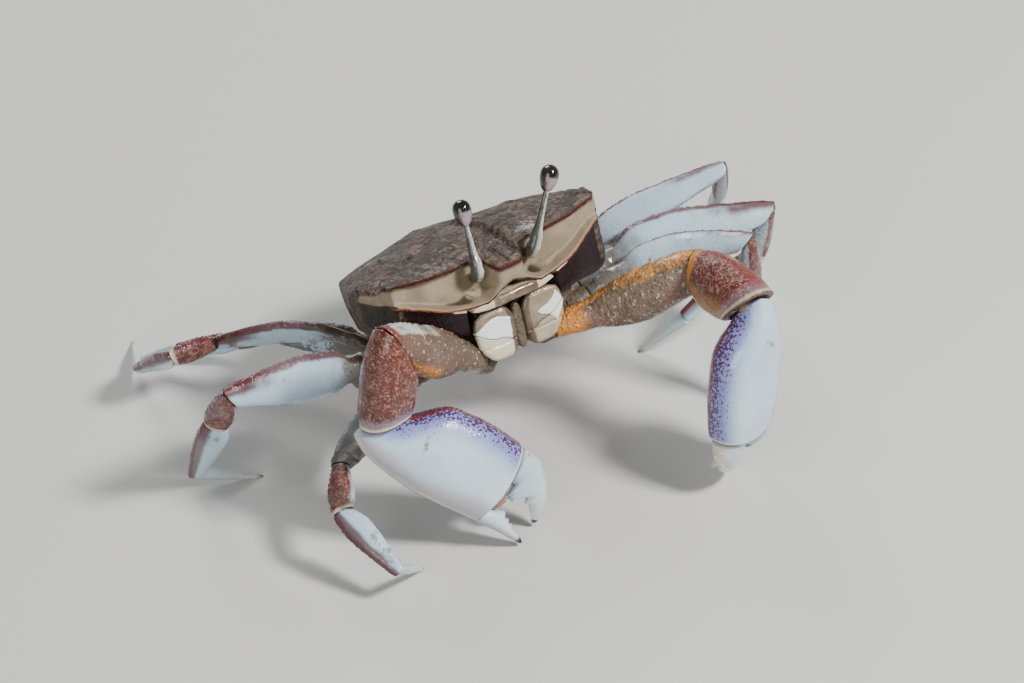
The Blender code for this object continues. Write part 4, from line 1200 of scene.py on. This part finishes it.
def build_arm(side):
    """Arm and wrist of one claw."""
    joints, ways = limb_joints(f"{side}_1")
    cut_wrist = hand_axes(side)[3]
    sign = SIDES[side]
    base = f"cheliped_{side}"
    shape = rounded_section(56, 2.4)
    cut_elbow = mitre(ways[1], ways[2])
    rings, ts = segment_rings(joints[0], joints[2], ways[0], ways[1], (ways[0], cut_elbow),
                              upper_side(ways[1], sign, 0), ARM, 90, shape)

    def granular(points, v):
        grains = pebbles(points, 0.42 * MM, 71)
        crest = step_between(0.80, 0.98, v["upper"])
        return (0.05 * grains + 0.10 * crest * grains + 0.04 * soft_noise(points, 1.2 * MM, 72)) * MM

    dress(make_piece(f"arm_{side}", rings, limb_values(ts, shape), arm_finish(side), granular), "red_brown",
          f"{base}_merus")
    shape = rounded_section(60, 2.3)
    rings, ts = segment_rings(joints[2], joints[3], ways[2], ways[2], (cut_elbow, cut_wrist),
                              upper_side(ways[2], sign, 0), WRIST, 70, shape)

    def smooth_grains(points, v):
        rim = hill(v["along"] - 0.985, 0.02)
        grains = pebbles(points, 0.38 * MM, 73)
        return (0.022 * grains + 0.06 * rim + 0.03 * soft_noise(points, 1.5 * MM, 74)) * MM

    dress(make_piece(f"wrist_{side}", rings, limb_values(ts, shape), wrist_finish(side), smooth_grains),
          "red_brown", f"{base}_carpus")


def slanted(rings, start, along, up, length):
    """Rings moved back where the hand's far end slants, below the movable finger."""
    offset = rings - start
    share = np.clip(offset @ along / (length * MM), 0, 1) ** 6
    drop = np.maximum(SLANT_FROM * MM - offset @ up, 0)
    return rings - along * (drop * SLANT * share)[..., None]


def build_hand(side):
    """Palm with the fixed finger, and the skin at the root of the fingers."""
    along, up, outer, cut, start = hand_axes(side)
    shape = rounded_section(96, 2.3)
    length = HAND[-1][0]
    rings, places = [], []
    for t in np.linspace(0, 1, 130):
        top, bottom, half = smooth_value(HAND, t * length) * MM
        centre = start + along * t * length * MM
        ring = section(centre, outer, up, top, bottom, half, shape)
        ring = ring - np.outer((ring - centre) @ cut / along.dot(cut) * (1 - t) ** 5, along)
        beyond = np.maximum((ring - start) @ -cut, 0)
        ring = ring + np.outer(beyond / along.dot(cut), along)
        rings.append(ring)
        places.append(t * length)
    round_shape = rounded_section(96, 2.0)
    palm_end = np.array((HAND[-1][1], -HAND[-1][2], HAND[-1][3]))
    first = FIXED_FINGER[0][0]
    reach = FIXED_FINGER[-1][0] - length
    steps = np.concatenate([np.linspace(length + 0.002, first, 18),
                            np.linspace(first + 0.03, length + reach, 72)])
    for s in steps:
        high, low, half = smooth_value(FIXED_FINGER, s)
        if s <= first:
            f = (s - length) / (first - length)
            high, low, half = palm_end * (1 - f) + np.array((high, low, half)) * f
        teeth = sum(height * hill(s - place, width) for place, height, width in FIXED_TEETH)
        bend = FIXED_BEND[side] * ((s - length) / reach) ** 2
        centre = start + (along * s + up * 0.5 * (high + low) - outer * bend) * MM
        tall = 0.5 * (high - low) * MM
        rings.append(section(centre, outer, up, tall + teeth * MM, tall, half * MM,
                             shape if s <= first else round_shape))
        places.append(s)
    rings = narrowed(rings[0], -along, ROOT_STEPS)[::-1] + rings
    places = np.array([0.0] * len(ROOT_STEPS) + places)[:, None]
    rings = np.array(rings)
    height = (rings - start) @ up / MM
    rings = slanted(rings, start, along, up, length)
    top_line = np.array([smooth_value(HAND, min(p, length))[0] for p in places[:, 0]])[:, None]
    facing = shape[2][None, :]
    on_palm = step_between(0, 0.3, length + 0.02 - places)
    across = (rings - start) @ outer / MM - CREST_SHIFT[side]
    crest = np.clip(1 - np.hypot(height - top_line, across) / CREST_REACH, 0, 1) * on_palm
    (dot_along, dot_up), (step_along, step_up) = DOT_PLACE, DOT_STEP
    dots = sum(hill(np.hypot(places - dot_along - step_along * k, height - dot_up - step_up * k), DOT_RADIUS)
               for k in range(3))
    values = {
        "upper": shape[3][None, :], "crest": crest, "tip": step_between(17.0, 18.4, places),
        "dots": np.clip(dots * step_between(0.2, 0.5, facing), 0, 1),
        "gape": step_between(length, length + 0.01, places) * step_between(0, 0.3, first + 0.35 - places)
        * step_between(0, 0.3, -0.9 - height) * step_between(-4.2, -3.9, height),
    }

    def relief(points, v):
        beads = pebbles(points, 0.30 * MM, 81)
        edge = step_between(0.86, 1.0, v["crest"])
        return (0.10 * beads * edge + 0.016 * pebbles(points, 0.3 * MM, 83) * v["crest"]
                + 0.03 * soft_noise(points, 2.0 * MM, 82)) * MM

    dress(make_piece(f"hand_{side}", rings, values, hand_finish(side), relief), "blue_white",
          f"cheliped_{side}_palm")
    place = start + (along * GAPE_PLACE[0] + up * GAPE_PLACE[1] + outer * GAPE_PLACE[2]) * MM
    way = unit(along * GAPE_WAY[0] + up * GAPE_WAY[1])
    skin = dome(place, way, outer, np.cross(outer, way), GAPE_RADIUS * MM, GAPE_LENGTH * MM, 85, 24,
                rounded_section(30, 2.0))
    dress(make_piece(f"gape_skin_{side}", skin, {}, skin_finish(f"gape_{side}_skin", "gape_red"),
                     uneven(0.3, 0.09, 84)), "red_brown")


def build_finger(side):
    """Movable finger, with a molar on its lower edge."""
    along, up, outer, _, start = hand_axes(side)
    shape = rounded_section(48, 2.1)
    ts = np.linspace(0, 1, 120)
    rings = []
    for t in ts:
        s, h = smooth_value(FINGER_LINE, t)
        ahead = slope_at(FINGER_LINE, t, 0.03)
        way = unit(along * ahead[0] + up * ahead[1])
        blend = step_between(0, 0.15, t)
        way = unit(along * (1 - blend) + way * blend)
        bent_up = np.cross(outer, way) if side == "right" else np.cross(way, outer)
        high, half = smooth_value(FINGER_SIZE, t) * MM
        molar = MOLAR_HEIGHT * step_between(MOLAR_START, 0.37, t) * step_between(0, 0.10, MOLAR_END - t)
        ripple = 0.16 * math.sin(t * 90) * hill(t - 0.42, 0.1) + 0.40 * hill(t - 0.70, 0.05)
        centre = start + (along * (s - 0.04) + up * h - outer * FINGER_BEND * t * t) * MM
        rings.append(section(centre, outer, bent_up, high, high * 0.95 + (molar + ripple) * MM, half, shape))
    values = limb_values(ts, shape)
    inner = step_between(0.90, 1.0, -shape[3])[None, :]
    ends = hill(ts - MOLAR_START, 0.03) + hill(ts - MOLAR_END, 0.06)
    # Dark brown finger tip; at both ends of the molar, on the lower edge, the same brown is painted shade in
    # the notches
    values["tip"] = step_between(0.90, 1.0, ts)[:, None] + 0.9 * ends[:, None] * inner
    dress(make_piece(f"finger_{side}", rings, values, finger_finish(),
                     margin_relief(0.05, 1.0, 0.32, 91, ripple=0.03)), "ivory", f"cheliped_{side}_finger")


def build_leg(name):
    """Thigh, shin, foot and toe of one walking leg."""
    side, number = name[:-2], int(name[-1])
    sign = SIDES[side]
    joints, ways = limb_joints(name)
    roll = math.radians(LEG_ROLL[name]) * -sign
    scale = LEG_SCALE[number]
    cuts = [ways[0]] + [mitre(a, b) for a, b in zip(ways[1:], ways[2:])] + [ways[4]]
    beaded = margin_relief(0.07, 0.8, 0.42, 101 + number, 0.4, 0.03)

    def caked(points, v):
        """Beaded margins, and the mud that cakes the thigh's root."""
        cake = step_between(0, 0.12, 0.33 - v["along"]) * step_between(0.02, 0.10, v["along"])
        lumps = 0.7 + 0.5 * soft_noise(points, 0.9 * MM, 105) + 0.2 * pebbles(points, 0.5 * MM, 106)
        return beaded(points, v) + THIGH_CAKE.get(name, 0.0) * cake * lumps * MM

    def ridged(points, v):
        groove = hill(np.abs(v["upper"]) - 0.5, 0.18) * step_between(0, 0.3, 1 - v["along"])
        return -0.05 * groove * scale * MM * step_between(0.0004, 0.0008, points[:, 2])

    purple = 0.7 if number == 4 else 0.25
    red = 0.9 if side == "right" else 0.4
    broad, round_end = rounded_section(52, 2.3), rounded_section(36, 2.1)
    segments = (("thigh", "merus", MERUS, 110, broad, thigh_finish(name), caked, "blue_white"),
                ("shin", "carpus", CARPUS, 50, broad, shin_finish(name, purple),
                 margin_relief(0.07, 0.8, 0.36, 111 + number, 0.3, 0.03), "red_brown"),
                ("foot", "propodus", PROPODUS, 60, broad, foot_finish(name, red),
                 margin_relief(0.05, 0.7, 0.34, 121 + number, 0.3, 0.02), "blue_white"),
                ("toe", "dactyl", DACTYL, 60, round_end, toe_finish(), ridged, "blue_white"))
    for k, (piece, node, profile, count, shape, finish, relief, slot) in enumerate(segments, 1):
        first = k if k > 1 else 0
        toe = piece == "toe"
        end = joints[k + 1] + ways[k] * GAP if toe else joints[k + 1]
        up = upper_side(ways[k], sign, roll)
        rings, ts = segment_rings(joints[first], end, ways[first], ways[k], (cuts[k - 1], cuts[k]), up,
                                  profile, count, shape, scale, socket=not toe)
        if toe:
            rings[..., 2] = np.maximum(rings[..., 2], 0)
        dress(make_piece(f"{piece}_{name}", rings, limb_values(ts, shape), finish, relief), slot,
              f"leg_{number}_{side}_{node}")


def build_joint_skins(name):
    """Soft skin that bridges each joint of a limb, set inside the rims of its two segments."""
    number = int(name[-1])
    joints, ways = limb_joints(name)
    claw = number == 1
    profiles = (ARM, WRIST) if claw else (MERUS, CARPUS, PROPODUS)
    scale = 1.0 if claw else LEG_SCALE[number]
    first_ground = "orange_skin" if claw else "wall_beige"
    shape = rounded_section(28, 2.0)
    for k, profile in enumerate(profiles):
        way = mitre(ways[k + 1], ways[k + 2])
        top, bottom, half = smooth_value(profile, 1.0) * scale * MM
        radius = (WRIST_SKIN_SHARE if claw and k else SKIN_SHARE) * min(half, 0.5 * (top + bottom))
        rings = dome(joints[k + 2], way, *level_frame(way, (0.2, 0.1, 1)), radius, radius, 82, 22, shape)
        finish = skin_finish(f"skin_{name}_{k}", "skin_brown" if k else first_ground)
        dress(make_piece(f"skin_{name}_{k}", rings, {}, finish, uneven(0.4, 0.04, 131)), "red_brown")


# ---- stage

def build_stage():
    settings = bpy.context.scene.crab_stage
    half = settings.floor_size / 2
    mesh = bpy.data.meshes.new("floor")
    corners = [(-half, -half, 0), (half, -half, 0), (half, half, 0), (-half, half, 0)]
    mesh.from_pydata(corners, [], [(0, 1, 2, 3)])
    floor = bpy.data.objects.new("floor", mesh)
    bpy.context.scene.collection.objects.link(floor)
    material = bpy.data.materials.new("floor")
    material.use_nodes = True
    shader = material.node_tree.nodes["Principled BSDF"]
    shader.inputs["Base Color"].default_value = (*settings.floor_colour, 1)
    shader.inputs["Roughness"].default_value = 0.85
    mesh.materials.append(material)

    world = bpy.data.worlds.new("studio")
    bpy.context.scene.world = world
    world.use_nodes = True
    world.node_tree.nodes["Background"].inputs["Color"].default_value = (0.93, 0.96, 1.0, 1)
    world.node_tree.nodes["Background"].inputs["Strength"].default_value = settings.sky_strength

    target = Vector((0, 0, 12 * MM))
    # name, place and size in metres, and power
    lamps = (("key", (0.16, -0.20, 0.30), 0.07, settings.key_power),
             ("fill", (-0.26, -0.20, 0.16), 0.20, settings.key_power * 0.22),
             ("rim", (0.05, 0.30, 0.22), 0.16, settings.key_power * 0.30))
    for name, place, size, power in lamps:
        light = bpy.data.lights.new(name, "AREA")
        light.size = size
        light.energy = power
        lamp = bpy.data.objects.new(name, light)
        lamp.location = place
        lamp.rotation_euler = (target - Vector(place)).to_track_quat("-Z", "Y").to_euler()
        bpy.context.scene.collection.objects.link(lamp)


def build_camera():
    level = math.cos(VIEW_HEIGHT)
    back = np.array((math.sin(VIEW_TURN) * level, -math.cos(VIEW_TURN) * level, math.sin(VIEW_HEIGHT)))
    right = np.array((math.cos(VIEW_TURN), math.sin(VIEW_TURN), 0))
    up = np.cross(back, right)
    aim = unit(-back * FOCAL_PIXELS + right * (PICTURE[0] / 2 - BACK_PIXEL[0])
               - up * (PICTURE[1] / 2 - BACK_PIXEL[1]))
    axis_x = unit(np.cross(aim, up))
    axis_y = np.cross(axis_x, aim)
    data = bpy.data.cameras.new("camera")
    data.sensor_width = 36
    data.lens = FOCAL_PIXELS / PICTURE[0] * data.sensor_width
    data.clip_start, data.clip_end = 0.05, 20
    camera = bpy.data.objects.new("camera", data)
    turn = Matrix((axis_x, axis_y, -aim)).transposed()
    camera.matrix_world = Matrix.Translation(BODY_PLACE + back * VIEW_DISTANCE) @ turn.to_4x4()
    bpy.context.scene.collection.objects.link(camera)
    bpy.context.scene.camera = camera


# ---- add-on

def colour(name, text, value):
    return bpy.props.FloatVectorProperty(name=name, description=text, subtype="COLOR", size=3, min=0, max=1,
                                         default=value)


class CrabColours(bpy.types.PropertyGroup):
    back_brown: colour("Back", "Muddy brown of the carapace", (0.130, 0.080, 0.050))
    back_dark: colour("Back, dark", "Darker clouds on the carapace", (0.040, 0.019, 0.012))
    back_pale: colour("Back, pale", "Paler clouds on the carapace", (0.240, 0.175, 0.115))
    vein_dark: colour("Veins", "Fine dark lines on the carapace", (0.012, 0.006, 0.005))
    wall_beige: colour("Orbit wall", "Smooth beige wall under the eyes", (0.320, 0.250, 0.165))
    wall_shade: colour("Orbit wall, shade", "Darker clouds on the orbit's wall", (0.180, 0.130, 0.082))
    # Muddy olive black with painted shade, for the side wall below the front corners
    side_mud_and_shade: colour("Side", "Olive black below the front corners", (0.018, 0.015, 0.010))
    band_black: colour("Cheek band", "Glossy purple-black band on the cheeks", (0.012, 0.002, 0.003))
    cream: colour("Cream", "Cream patches and rims", (0.75, 0.66, 0.46))
    crimson: colour("Margins", "Crimson beaded margins", (0.060, 0.003, 0.004))
    orange: colour("Lower margin", "Orange edge of the lower margin", (0.36, 0.070, 0.018))
    mud: colour("Mud", "Settled mud", (0.100, 0.070, 0.042))
    # White patches, and the painted highlight on the eyestalks' lit side
    white: colour("White", "White patches", (0.86, 0.88, 0.85))
    stalk_grey: colour("Stalk", "Grey-green of the eyestalks", (0.36, 0.38, 0.33))
    # Dark flecks and dots, and the painted shade on the eyestalks' side away from the light
    dark_flecks_and_stalk_shade: colour("Stalk, dark", "Dark rear of the eyestalks", (0.03, 0.022, 0.018))
    stalk_pink: colour("Stalk end", "Pinkish band under the eye", (0.36, 0.25, 0.29))
    eye_brown: colour("Eye, brown", "Brown clouds in the eye", (0.020, 0.012, 0.009))
    eye_black: colour("Eye", "Glossy black eye", (0.004, 0.003, 0.003))
    pale_green: colour("Arm, far end", "Smooth pale green of the arm's far end", (0.50, 0.56, 0.47))
    skin_brown: colour("Wrist skin", "Muddy skin between wrist and hand", (0.13, 0.085, 0.055))
    arm_pink: colour("Arm", "Pinkish brown of the claw's arm", (0.185, 0.098, 0.068))
    orange_skin: colour("Skin", "Orange skin at the joints", (0.62, 0.235, 0.035))
    wrist_red: colour("Wrist", "Red-brown of the claw's wrist", (0.170, 0.020, 0.010))
    wrist_purple: colour("Wrist, far end", "Purple-brown of the wrist's far end", (0.090, 0.022, 0.032))
    wrist_pale: colour("Wrist, lines", "Pale lines of the wrist", (0.40, 0.22, 0.14))
    wrist_dark: colour("Wrist, flecks", "Dark flecks of the wrist", (0.085, 0.020, 0.018))
    lilac_white: colour("Wrist, rim", "Lilac white near the wrist's rim", (0.46, 0.40, 0.52))
    hand_white: colour("Hand", "White of the claw", (0.62, 0.76, 0.82))
    hand_blue: colour("Hand, blue", "Blue tone of the claw", (0.38, 0.54, 0.70))
    hand_grey: colour("Hand, below", "Pinkish grey of the claw's lower side", (0.42, 0.36, 0.38))
    lilac: colour("Hand, lilac", "Lilac band under the crest", (0.24, 0.24, 0.60))
    speckle_purple: colour("Speckles", "Dark purple speckles", (0.085, 0.030, 0.105))
    crest_red: colour("Crest", "Red crest of the claw", (0.22, 0.035, 0.028))
    crest_orange: colour("Crest, orange", "Orange flecks of the crest", (0.40, 0.11, 0.05))
    gape_red: colour("Gape", "Red-brown skin at the root of the fingers", (0.24, 0.095, 0.075))
    ivory: colour("Ivory", "Ivory of the fingers", (0.72, 0.68, 0.56))
    tip_brown: colour("Tips", "Dark brown finger tips", (0.045, 0.025, 0.014))
    leg_white: colour("Legs", "White of the legs", (0.50, 0.64, 0.70))
    leg_red: colour("Leg margins", "Red-brown upper margins of the legs", (0.100, 0.012, 0.014))


def distance(name, text, value, low=0.0, precision=6):
    return bpy.props.FloatProperty(name=name, description=text, unit="LENGTH", default=value, min=low,
                                   precision=precision)


class CrabRelief(bpy.types.PropertyGroup):
    back_granule_spacing: distance(
        "Granule spacing", "Distance between the granules of the back", 0.42 * MM, 0.1 * MM)
    back_granule_height: distance("Granule height", "Height of the granules of the back", 0.035 * MM)
    margin_bead_spacing: distance(
        "Bead spacing", "Distance between the beads of the margins", 0.40 * MM, 0.1 * MM)
    margin_bead_height: distance("Bead height", "Height of the beads of the margins", 0.07 * MM)


class CrabStage(bpy.types.PropertyGroup):
    floor_size: distance("Floor size", "Length of the floor's sides", 6.0, 0.5, 2)
    floor_colour: colour("Floor", "Colour of the floor", (0.62, 0.61, 0.59))
    sky_strength: bpy.props.FloatProperty(
        name="Sky", description="Strength of the soft light from all round", default=0.26, min=0.0)
    key_power: bpy.props.FloatProperty(
        name="Key light", description="Power of the main light", unit="POWER", default=2.1, min=0.0)


class CRAB_OT_effects(bpy.types.Operator):
    """Make the shader effects that the finishes share"""
    bl_idname = "crab.effects"
    bl_label = "Shared effects"

    def execute(self, context):
        build_effects()
        return {"FINISHED"}


class CRAB_OT_body(bpy.types.Operator):
    """Build the carapace, breast, hip segments and tail plate"""
    bl_idname = "crab.body"
    bl_label = "Body"

    def execute(self, context):
        build_carapace()
        build_breast()
        build_coxae()
        build_tail_plate()
        return {"FINISHED"}


class CRAB_OT_head(bpy.types.Operator):
    """Build the mouthparts, the eyes on their stalks and the feelers"""
    bl_idname = "crab.head"
    bl_label = "Mouth, eyes and feelers"

    def execute(self, context):
        build_mouth_frame()
        for side in SIDES:
            build_jaw(side)
            build_eye(side)
            build_feeler(side)
        return {"FINISHED"}


class CRAB_OT_claws(bpy.types.Operator):
    """Build both claws: arm, wrist, hand and movable finger"""
    bl_idname = "crab.claws"
    bl_label = "Claws"

    def execute(self, context):
        for side in SIDES:
            build_arm(side)
            build_hand(side)
            build_finger(side)
            build_joint_skins(f"{side}_1")
        return {"FINISHED"}


class CRAB_OT_legs(bpy.types.Operator):
    """Build the walking legs"""
    bl_idname = "crab.legs"
    bl_label = "Walking legs"

    def execute(self, context):
        for name in sorted(LEG_ROLL):
            build_leg(name)
            build_joint_skins(name)
        return {"FINISHED"}


class CRAB_OT_stage(bpy.types.Operator):
    """Build the floor, the lights and the camera"""
    bl_idname = "crab.stage"
    bl_label = "Stage"

    def execute(self, context):
        build_stage()
        build_camera()
        return {"FINISHED"}


OPERATORS = (CRAB_OT_effects, CRAB_OT_body, CRAB_OT_head, CRAB_OT_claws, CRAB_OT_legs, CRAB_OT_stage)


class CRAB_PT_panel(bpy.types.Panel):
    """Lists the crab's pieces and settings"""
    bl_idname = "CRAB_PT_panel"
    bl_label = "Sentinel crab"
    bl_space_type = "VIEW_3D"
    bl_region_type = "UI"
    bl_category = "Crab"

    def draw(self, context):
        for operator in OPERATORS:
            self.layout.operator(operator.bl_idname)
        for settings in (context.scene.crab_relief, context.scene.crab_stage, context.scene.crab_colours):
            box = self.layout.box()
            for key in type(settings).__annotations__:
                box.prop(settings, key)


CLASSES = (CrabColours, CrabRelief, CrabStage, *OPERATORS, CRAB_PT_panel)


def register():
    for item in CLASSES:
        bpy.utils.register_class(item)
    bpy.types.Scene.crab_colours = bpy.props.PointerProperty(type=CrabColours)
    bpy.types.Scene.crab_relief = bpy.props.PointerProperty(type=CrabRelief)
    bpy.types.Scene.crab_stage = bpy.props.PointerProperty(type=CrabStage)


def unregister():
    del bpy.types.Scene.crab_colours
    del bpy.types.Scene.crab_relief
    del bpy.types.Scene.crab_stage
    for item in reversed(CLASSES):
        bpy.utils.unregister_class(item)


def main():
    register()
    bpy.ops.crab.effects()
    bpy.ops.crab.body()
    bpy.ops.crab.head()
    bpy.ops.crab.claws()
    bpy.ops.crab.legs()
    bpy.ops.crab.stage()


if __name__ == "__main__":
    main()
